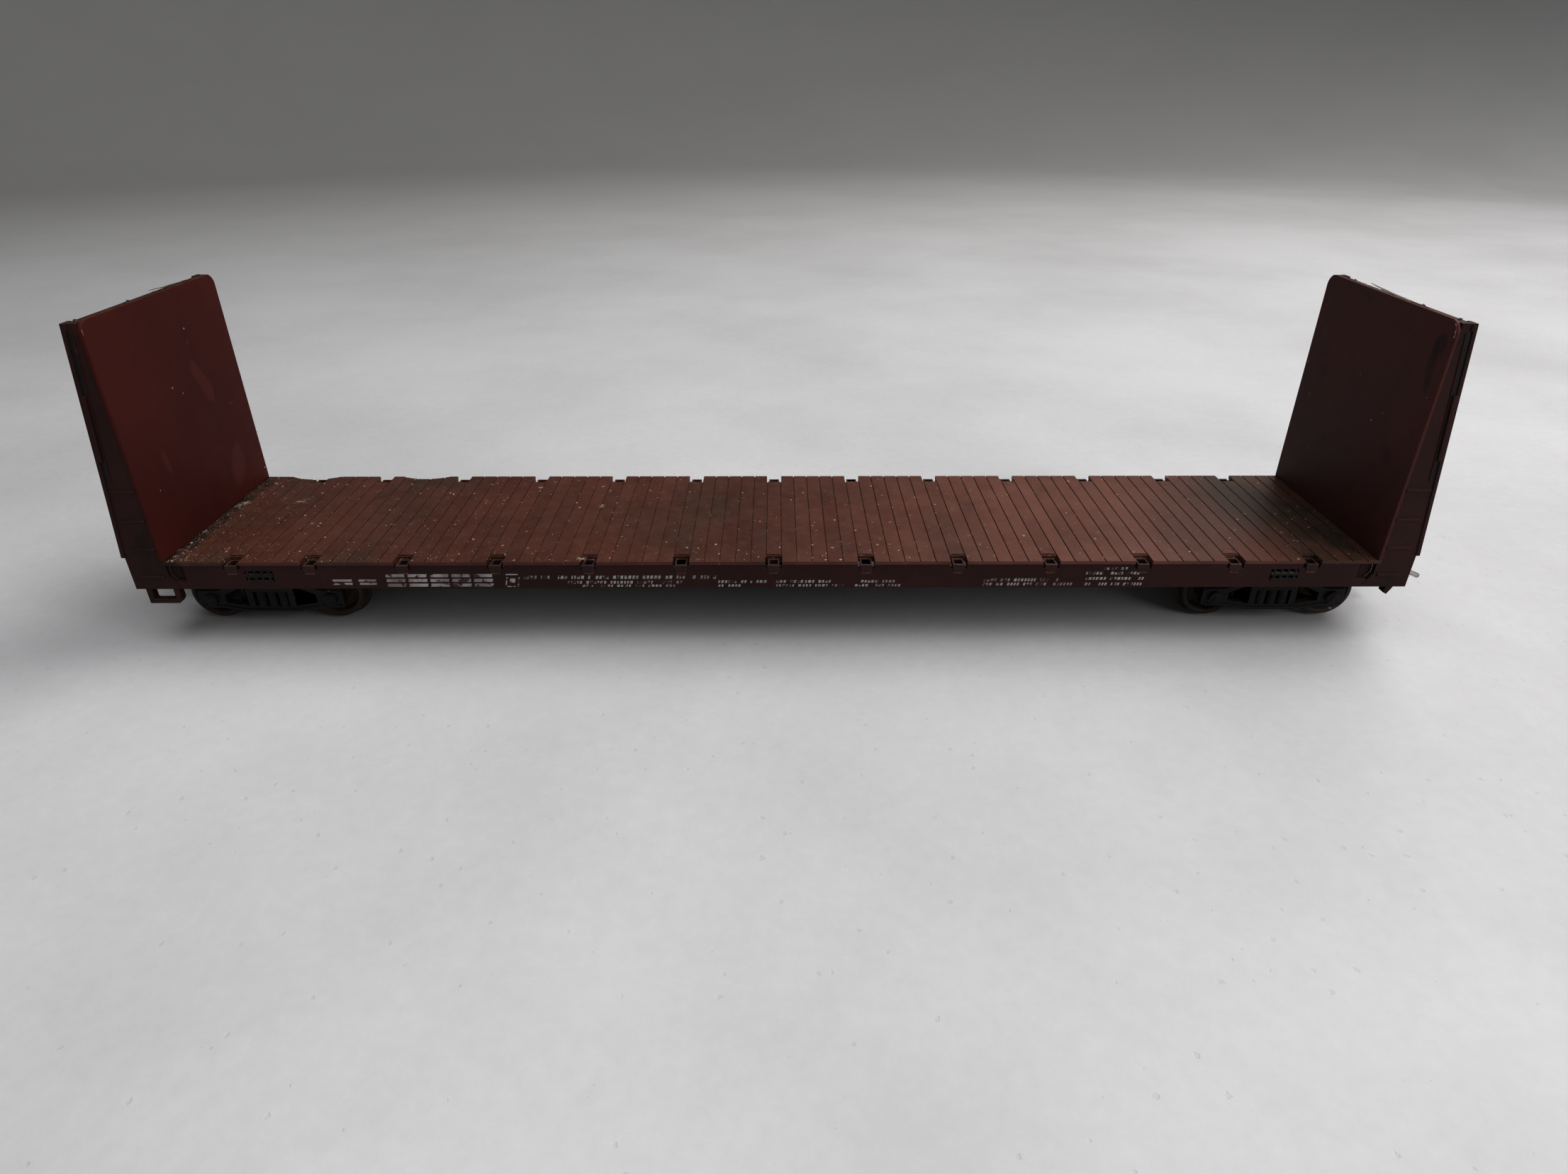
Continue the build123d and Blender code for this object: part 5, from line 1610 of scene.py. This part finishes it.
@dataclass
class Truck:
    """One truck: side frames with springs, bearing caps, brake beams and two wheelsets."""

    kit: Kit
    end: End
    axle_height: float = 5.45
    spring_offsets: tuple[float, ...] = (-1.9, 0.0, 1.9)
    spring_radius: float = 0.72
    spring_wire: float = 0.2
    spring_turns: float = 5.0
    spring_span: tuple[float, float] = (4.05, 6.75)
    spring_y: float = 11.35
    # radius and height over the side frame of the points of a bearing cap's outline
    cap: tuple[tuple[float, float], ...] = (
        (0.0, 0.32), (0.42, 0.32), (0.5, 0.12), (0.98, 0.1), (1.12, -0.3),
    )
    cap_y: float = 12.7
    cap_bolt_circle: float = 0.74
    rim_y: float = 12.15
    # place along the truck and height of the corners of each side frame's upper and lower rim
    rims: tuple[tuple[tuple[float, float], ...], ...] = (
        ((-12.1, 6.95), (-8.9, 6.95), (-4.5, 8.85), (4.5, 8.85), (8.9, 6.95), (12.1, 6.95)),
        ((-11.9, 4.05), (-8.9, 4.05), (-4.6, 3.3), (4.6, 3.3), (8.9, 4.05), (11.9, 4.05)),
    )
    beam_height: float = 4.9
    beam_half_length: float = 9.4
    beam_from_axle: float = 6.15
    shoe_radius: float = 5.45
    shoe_y: float = 8.9
    shoe_half_angle: float = 0.42

    def build(self) -> None:
        """Builds the truck's pieces."""
        word = self.end.word
        self.body = f"truck_{word}"
        low, high = self.kit.box(f"truck_frame_{word}")
        self.centre = (low[0] + high[0]) / 2
        numbers = (1, 2) if self.end is End.LEFT else (3, 4)
        boxes = [self.kit.box(f"axle_{number}") for number in numbers]
        self.axles = [float(np.mean(box, axis=0)[0]) for box in boxes]
        self.kit.soften(f"truck_frame_{word}", f"side_frames_{word}", Slot.BLACK, Finish.BLACK, 0.1)
        self.springs()
        self.bearing_caps()
        self.brake_beams()
        for number, axle_x in zip(numbers, self.axles):
            Wheelset(self.kit, number, axle_x, self.axle_height).build()

    def springs(self) -> None:
        """Moulded springs: a wire carried along (r cos u, r sin u, rise * u) round each column."""
        piece = Piece(f"bolster_springs_{self.end.word}")
        steps = 90
        angle = np.linspace(0, 2 * np.pi * self.spring_turns, steps)
        for side in Side:
            for offset in self.spring_offsets:
                path = np.column_stack(
                    [
                        self.centre + offset + self.spring_radius * np.cos(angle),
                        side.value * self.spring_y + self.spring_radius * np.sin(angle),
                        np.linspace(*self.spring_span, steps),
                    ]
                )
                piece.add(tube(path, self.spring_wire, (0, 0, 1), 7))
        self.kit.place(piece.mesh(), self.body, Slot.BLACK, Finish.BLACK)

    def bearing_caps(self) -> None:
        """Bearing caps with three bolts, and ribs along the side frames' faces."""
        piece = Piece(f"bearing_caps_{self.end.word}")
        profile = rounded(np.array(self.cap), 0.08)
        for side in Side:
            outward = (0, side.value, 0)
            for axle_x in self.axles:
                centre = np.array([axle_x, side.value * self.cap_y, self.axle_height])
                piece.add(lathed(profile, centre, outward, 24))
                for bolt in turned(3) @ np.array([[0.0, 1.0], [1.0, 0.0]]):
                    out, up = bolt * self.cap_bolt_circle
                    place = centre + np.array([out, side.value * 0.1, up])
                    piece.add(dome(place, outward, 0.17, 0.2, 6))
            self.ribs(piece, side)
        self.kit.place(piece.mesh(), self.body, Slot.BLACK, Finish.BLACK)

    def ribs(self, piece: Piece, side: Side) -> None:
        """Adds a side frame's raised rims: a rounded strip along its upper and its lower edge.

        Args:
            piece: the piece that they join.
            side: which side of the car.
        """
        strip = self.section(0.22, 0.2, 0.12)
        for rim in self.rims:
            flat = rounded(np.array(rim), 0.9, 5)
            across = np.full(len(flat), side.value * self.rim_y)
            path = np.column_stack([self.centre + flat[:, 0], across, flat[:, 1]])
            piece.add(carried(strip, path, (0, 1, 0)))

    @staticmethod
    def section(half_width: float, half_height: float, radius: float) -> Array:
        """A rectangular section with rounded corners."""
        corners = np.array([[-1, -1], [1, -1], [1, 1], [-1, 1]]) * (half_width, half_height)
        return rounded(corners, radius, 3, closed=True)

    def brake_beams(self) -> None:
        """A brake beam inside each wheelset, with a curved shoe at each wheel."""
        piece = Piece(f"brake_beams_{self.end.word}")
        for axle_x in self.axles:
            inward = math.copysign(1, self.centre - axle_x)
            beam_x = axle_x + inward * self.beam_from_axle
            start = np.array([beam_x, -self.beam_half_length, self.beam_height])
            stop = start * (1, -1, 1)
            piece.add(rounded_bar(start, stop, (0.35, 0.3), 0.12, (0, 0, 1)))
            strut = np.array([beam_x, 0, self.beam_height])
            piece.add(
                rounded_bar(strut, strut + (inward * 1.5, 0, 1.0), (0.25, 0.3), 0.1, (0, 0, 1))
            )
            angle = np.linspace(-self.shoe_half_angle, self.shoe_half_angle, 9)
            radial = self.shoe_radius * np.stack(
                [inward * np.cos(angle), np.zeros_like(angle), np.sin(angle)], axis=-1
            )
            for side in Side:
                arc = radial + (axle_x, side.value * self.shoe_y, self.axle_height)
                piece.add(carried(self.section(0.75, 0.28, 0.1), arc, radial))
        self.kit.place(piece.mesh(), self.body, Slot.BLACK, Finish.BLACK)


@dataclass
class Wheelset:
    """A pointed axle and two wheels, each turned from a profile with rounded corners."""

    kit: Kit
    number: int
    axle_x: float
    height: float
    half_gap: float = 7.2
    # radius, and distance out from the wheel's inner face, round a wheel's section
    wheel: tuple[tuple[float, float], ...] = (
        (1.2, 0.0), (1.95, 0.0), (2.15, 0.5), (3.8, 0.35), (3.95, 0.0), (5.1, 0.0), (5.43, 0.2),
        (5.4, 0.45), (4.86, 0.8), (4.8, 1.2), (4.72, 2.6), (4.55, 2.8), (3.95, 2.8), (3.75, 2.35),
        (3.65, 1.15), (2.2, 1.4), (1.85, 2.35), (1.6, 2.7), (1.2, 2.7),
    )
    spoke_span: tuple[float, float] = (2.35, 3.55)
    # radius, and distance from the middle, along half of the axle inside its points
    axle: tuple[tuple[float, float], ...] = ((1.0, 6.4), (1.2, 7.0), (1.2, 10.0), (1.15, 10.25))
    point_radius: float = 0.15

    def build(self) -> None:
        """Builds the wheelset's two pieces."""
        body = f"wheelset_{self.number}"
        centre = np.array([self.axle_x, 0, self.height])
        gap = self.half_gap
        profile = np.array(self.wheel) + (0, gap)
        smooth = rounded(profile, 0.14, 4)
        wheels = Piece(f"wheel_pair_{self.number}")
        for side in Side:
            closed = np.concatenate([smooth, smooth[:1]])
            wheels.add(lathed(closed, centre, (0, side.value, 0), 72), caps=False)
            for spoke in turned(6):
                start, stop = (
                    centre + np.array(
                        [spoke[0] * reach, side.value * (gap + out), spoke[1] * reach]
                    )
                    for reach, out in zip(self.spoke_span, (1.34, 1.16))
                )
                wheels.add(rounded_bar(start, stop, (0.16, 0.12), 0.07, (0, 1, 0)))
        self.kit.place(wheels.mesh(), body, Slot.WHEEL, Finish.WHEEL, (f"wheels_{self.number}",))
        end = self.kit.box(f"axle_{self.number}")[1][1]
        half = np.array([*self.axle, (self.point_radius, end), (0, end)])
        line = np.concatenate([half[::-1] * (1, -1), half])
        axle = Piece(f"axle_shaft_{self.number}")
        axle.add(lathed(line, centre, (0, 1, 0), 32), caps=False)
        self.kit.place(axle.mesh(), body, Slot.WHEEL, Finish.WHEEL, (f"axle_{self.number}",))


@dataclass
class Draft:
    """One end's draft gear, coupler, knuckle, trip pin and uncoupling lever."""

    kit: Kit
    end: End
    pin_x: tuple[float, float, float] = (108.9, 109.4, 111.2)
    pin_radius: float = 0.3
    # distance from the middle of the car, across it, and height, of the lever's bends
    lever_bends: tuple[tuple[float, float, float], ...] = (
        (110.6, -13.4, 10.4), (107.0, -13.4, 11.9), (107.0, -4.2, 11.9), (107.6, -3.9, 13.6),
    )
    lever_radius: float = 0.42

    def build(self) -> None:
        """Builds the pieces at this end."""
        word, kit = self.end.word, self.kit
        kit.soften(f"draft_box_{word}", f"coupler_pocket_{word}", Slot.BLACK, Finish.BLACK, 0.12)
        kit.soften(
            f"draft_lid_{word}", f"coupler_pocket_lid_{word}", Slot.BLACK, Finish.BLACK, 0.08
        )
        kit.soften(f"coupler_{word}", f"coupler_head_{word}", Slot.COUPLER, Finish.COUPLER, 0.12)
        kit.soften(f"knuckle_{word}", f"coupler_knuckle_{word}", Slot.COUPLER, Finish.COUPLER, 0.12)
        kit.soften(f"lever_eyes_{word}", f"lever_brackets_{word}", Slot.BODY, Finish.BODY, 0.08)
        kit.soften(f"draft_screw_{word}", f"coupler_screw_{word}", Slot.STEEL, Finish.STEEL, 0.06)
        kit.soften(f"kingpin_screw_{word}", f"truck_screw_{word}", Slot.STEEL, Finish.STEEL, 0.08)
        kit.soften(f"knuckle_pin_{word}", f"knuckle_rivet_{word}", Slot.STEEL, Finish.STEEL, 0.06)
        kit.dress(f"centring_spring_{word}", Finish.BRONZE)
        self.trip_pin()
        self.lever()

    def trip_pin(self) -> None:
        """The trip pin: a wire that drops from the head and curls forward at its foot."""
        word, sign = self.end.word, self.end.value
        low, high = self.kit.box(f"trip_pin_{word}")
        y, top, foot = (low[1] + high[1]) / 2, high[2], low[2] + self.pin_radius
        upright, bend, tip = self.pin_x
        corners = np.array([(upright, top), (upright, foot + 0.4), (bend, foot), (tip, foot)])
        flat = rounded(corners, 2.2, 10)
        path = np.column_stack([sign * flat[:, 0], np.full(len(flat), y), flat[:, 1]])
        piece = Piece(f"trip_wire_{word}")
        piece.add(tube(path, self.pin_radius, (0, 1, 0), 14))
        node = f"trip_pin_{word}"
        self.kit.place(piece.mesh(), self.kit.body_of[node], Slot.STEEL, Finish.STEEL, (node,))

    def lever(self) -> None:
        """The uncoupling lever: one bent wire with a flattened grip at its outer end."""
        word, sign = self.end.word, self.end.value
        corners = np.array(self.lever_bends) * (sign, sign, 1)
        path = rounded(corners, 0.9, 8)
        piece = Piece(f"uncoupling_lever_{word}")
        piece.add(tube(path, self.lever_radius, (0.3, 0.2, 1), 14))
        piece.add(dome(corners[0], unit(corners[0] - corners[1]), 0.44, 0.3, 14, 5))
        node = f"cut_lever_{word}"
        self.kit.place(piece.mesh(), self.kit.body_of[node], Slot.STEEL, Finish.STEEL, (node,))


@dataclass
class Underside:
    """Underframe, bolsters, steps, ballast and the air brake gear."""

    kit: Kit
    # across the car and height of the brake cylinder's axis
    cylinder_axis: tuple[float, float] = (-10.2, 10.2)
    # radius, and place along the car, round the brake cylinder and its rod
    barrel: tuple[tuple[float, float], ...] = (
        (0, -11.5), (1.5, -11.45), (2.0, -11.1), (2.1, -10.6), (2.1, -3.9), (2.35, -3.8),
        (2.35, -2.75), (2.1, -2.7), (0.8, -2.55), (0.5, -2.3), (0.5, 2.2), (0.35, 2.4), (0, 2.4),
    )
    flange_x: float = -2.72
    flange_bolt_circle: float = 1.85
    tank_axis: tuple[float, float] = (11.2, 10.7)
    tank_span: tuple[float, float] = (5.4, 17.6)
    tank_radius: float = 2.1
    tank_dome: float = 1.1
    strap_places: tuple[float, float] = (8.5, 14.5)
    # across the car, start and end of each rod, and the middle of its fork
    rods_laid: tuple[tuple[float, float, float, float], ...] = (
        (-5.2, -60.0, 4.0, 3.1), (5.2, -2.0, 60.0, -1.0),
    )
    rod_height: float = 8.6

    def build(self) -> None:
        """Builds the pieces under the deck."""
        kit = self.kit
        kit.soften("underframe", "centre_sill_frame", Slot.BODY, Finish.BODY, 0.1)
        kit.soften("sill_steps", "corner_steps", Slot.BODY, Finish.BODY, 0.16, 3)
        kit.soften("control_valve", "brake_valve", Slot.BODY, Finish.BODY, 0.14)
        kit.dress("steel_weight", Finish.STEEL)
        for end in End:
            kit.soften(
                f"body_bolster_{end.word}", f"bolster_{end.word}", Slot.BODY, Finish.BODY, 0.1
            )
        self.cylinder()
        self.reservoir()
        self.rods()

    def cylinder(self) -> None:
        """The brake cylinder: a turned barrel with a bolted flange, a push rod and its bracket."""
        piece = Piece("brake_barrel")
        axis = (1, 0, 0)
        across, height = self.cylinder_axis
        piece.add(lathed(np.array(self.barrel), (0, across, height), axis, 40), caps=False)
        for bolt in turned(8) * self.flange_bolt_circle:
            place = (self.flange_x, across + bolt[0], height + bolt[1])
            piece.add(dome(place, axis, 0.2, 0.22, 6))
        piece.add(rounded_block((-9.6, -12.2, 11.7), (-5.4, -9.05, 13.05), 0.15))
        self.kit.place(piece.mesh(), "car", Slot.BODY, Finish.BODY, ("brake_cylinder",))

    def reservoir(self) -> None:
        """The air reservoir: a barrel with domed ends and two straps."""
        piece = Piece("air_tank")
        axis, middle = (1, 0, 0), (0, *self.tank_axis)
        start, stop = self.tank_span
        angle = np.linspace(0, np.pi / 2, 7)
        radius, depth = self.tank_radius * np.sin(angle), self.tank_dome * (1 - np.cos(angle))
        left = np.stack([radius, start + depth], -1)
        right = np.stack([radius, stop - depth], -1)[::-1]
        piece.add(lathed(np.concatenate([left, right]), middle, axis, 40), caps=False)
        for x in self.strap_places:
            band = ((2.05, -0.4), (2.28, -0.35), (2.28, 0.35), (2.05, 0.4), (2.05, -0.4))
            piece.add(lathed(np.array(band) + (0, x), middle, axis, 40), caps=False)
            piece.add(rounded_block((x - 0.5, 9.1, 11.3), (x + 0.5, 13.0, 13.05), 0.12))
        self.kit.place(piece.mesh(), "car", Slot.BODY, Finish.BODY, ("air_reservoir",))

    def rods(self) -> None:
        """Brake rods with forked ends on a floating lever."""
        piece = Piece("brake_rigging")
        for y, start, stop, fork in self.rods_laid:
            path = np.column_stack(
                [np.linspace(start, stop, 12), np.full(12, y), np.full(12, self.rod_height)]
            )
            piece.add(tube(path, 0.35, (0, 0, 1), 12))
            piece.add(
                rounded_block((fork - 1.2, y - 0.55, 8.15), (fork + 0.8, y + 0.55, 9.05), 0.2)
            )
        piece.add(rounded_block((2.65, -11.0, 8.3), (3.55, 6.0, 8.9), 0.2))
        piece.add(dome((3.1, -10.3, 8.3), (0, 0, -1), 0.4, 0.3, 10, 4))
        self.kit.place(piece.mesh(), "car", Slot.BODY, Finish.BODY, ("brake_rods",))


@dataclass
class HandBrake:
    """The hand brake on the left bulkhead: gear housing and spoked wheel."""

    kit: Kit
    centre: tuple[float, float, float] = (-107.7, 4.35, 33.0)
    rim: float = 3.1
    spokes: int = 5
    # radius, and distance out along the axis, of the hub's outline
    hub: tuple[tuple[float, float], ...] = (
        (0.0, 0.4), (0.62, 0.36), (0.78, 0.05), (0.78, -0.5), (0.6, -1.4), (0.0, -1.4),
    )

    def build(self) -> None:
        """Builds the hand brake's pieces."""
        self.kit.soften("brake_housing", "brake_gear_case", Slot.BODY, Finish.BODY, 0.2, 3)
        piece = Piece("brake_handwheel")
        axis, centre = (-1, 0, 0), np.array(self.centre)
        ring = np.concatenate([turned(12), turned(12)[:1]]) * 0.3 + (self.rim, 0)
        piece.add(lathed(ring, centre, axis, 48), caps=False)
        piece.add(lathed(rounded(np.array(self.hub), 0.12), centre, axis, 24), caps=False)
        for spoke in turned(self.spokes) @ np.array([[0.0, 1.0], [1.0, 0.0]]):
            reach = np.linspace(0.5, self.rim - 0.1, 8)
            bow = 0.35 * np.sin(np.linspace(0, np.pi, 8))
            path = np.column_stack([-bow, reach * spoke[0], reach * spoke[1]]) + centre
            piece.add(tube(path, 0.2, (1, 0, 0), 8))
        self.kit.place(piece.mesh(), "car", Slot.BODY, Finish.BODY, ("brake_wheel",))


# ---------------------------------------------------------------- stand, light and camera


@dataclass(frozen=True)
class Lamp:
    """A soft rectangular lamp: its place and size in metres, its power in watts and its colour."""

    name: str
    place: tuple[float, float, float]
    size: tuple[float, float]
    power: float
    colour: Colour = (1.0, 1.0, 1.0)


@dataclass(frozen=True)
class Studio:
    """Pale round stand, soft lamps, and a camera that looks down at the near side, in metres."""

    bend: float = 0.85
    sweep: float = 0.6
    wall: float = 1.1
    eye: tuple[float, float, float] = (0.00061, -0.15546, 0.0869)
    pitch: float = 28.94
    yaw: float = 0.458
    roll: float = 0.105
    lens: float = 21.634
    sensor: float = 36.0
    contrast: float = 0.8
    room: Colour = (0.93, 0.96, 1.0)
    room_strength: float = 0.21
    target: tuple[float, float, float] = (0.0, 0.0, 0.02)
    lamps: tuple[Lamp, ...] = (
        Lamp("window", (0.5, 0.34, 0.72), (0.7, 0.6), 6.4, (1.0, 0.99, 0.97)),
        Lamp("ceiling", (0.1, -0.25, 0.95), (1.0, 0.8), 7.0),
        Lamp("right_front", (0.36, -0.30, 0.24), (0.2, 0.2), 0.85),
    )

    def build(self, kit: Kit) -> None:
        """Builds the stand, the lamps and the camera.

        Args:
            kit: holds the stand's finish.
        """
        self.stand(kit)
        for lamp in self.lamps:
            self.hang(lamp)
        world = bpy.data.worlds.new("soft_room")
        world.use_nodes = True
        back = world.node_tree.nodes["Background"]
        back.inputs["Color"].default_value = (*self.room, 1.0)
        back.inputs["Strength"].default_value = self.room_strength
        scene = bpy.context.scene
        scene.world = world
        scene.view_settings.view_transform = "Standard"
        scene.view_settings.gamma = self.contrast
        self.camera()

    def stand(self, kit: Kit) -> None:
        """The stand: a round floor that curves up into a wall, turned about an upright axis.

        Args:
            kit: holds its finish.
        """
        angle = np.linspace(0, np.pi / 2, 24)
        rings = np.array([(0.0, 0.0), (0.2, 0.0), (0.5, 0.0)])
        curve = np.stack(
            [self.bend + self.sweep * np.sin(angle), self.sweep * (1 - np.cos(angle))], -1
        )
        rim = np.array([[self.bend + self.sweep, self.sweep + self.wall]])
        profile = np.concatenate([rings, curve, rim]) / MM
        piece = Piece("stand")
        piece.add(lathed(profile, (0, 0, 0), (0, 0, 1), 96), caps=False)
        mesh = piece.mesh()
        mesh.flip_normals()
        mesh.shade_smooth()
        mesh.materials.append(kit.materials[Finish.FLOOR])
        stand = bpy.data.objects.new("stand", mesh)
        bpy.context.scene.collection.objects.link(stand)

    def hang(self, lamp: Lamp) -> None:
        """Adds a lamp, turned so that its -Z looks at the car.

        Args:
            lamp: which lamp.
        """
        light = bpy.data.lights.new(lamp.name, "AREA")
        light.shape = "RECTANGLE"
        light.size, light.size_y = lamp.size
        light.energy, light.color = lamp.power, lamp.colour
        hung = bpy.data.objects.new(lamp.name, light)
        hung.rotation_mode = "QUATERNION"
        away = Vector(self.target) - Vector(lamp.place)
        hung.rotation_quaternion = away.to_track_quat("-Z", "Y")
        hung.location = lamp.place
        hung.visible_camera = False
        bpy.context.scene.collection.objects.link(hung)

    def camera(self) -> None:
        """Adds the camera: it looks down by pitch and right by yaw, and rolls clockwise."""
        data = bpy.data.cameras.new("camera")
        data.lens, data.sensor_width = self.lens, self.sensor
        data.clip_start, data.clip_end = 0.005, 10.0
        camera = bpy.data.objects.new("camera", data)
        turn = Matrix.Rotation(math.radians(-self.yaw), 4, "Z") @ Matrix.Rotation(
            math.radians(90 - self.pitch), 4, "X"
        )
        turn = turn @ Matrix.Rotation(math.radians(self.roll), 4, "Z")
        camera.matrix_world = Matrix.Translation(self.eye) @ turn
        bpy.context.scene.collection.objects.link(camera)
        bpy.context.scene.camera = camera


def main() -> None:
    """Builds the car's sub-assemblies in order, then the stand."""
    logging.basicConfig(level=logging.INFO, format="%(name)s: %(message)s")
    kit = Kit()
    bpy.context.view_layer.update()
    random = np.random.default_rng(SEED)
    PlankDeck(kit, random).build()
    SideSills(kit, random).build()
    for end in End:
        Bulkhead(kit, end, random).build()
        Truck(kit, end).build()
        Draft(kit, end).build()
    Underside(kit).build()
    HandBrake(kit).build()
    Studio().build(kit)
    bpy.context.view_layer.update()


if __name__ == "__main__":
    main()
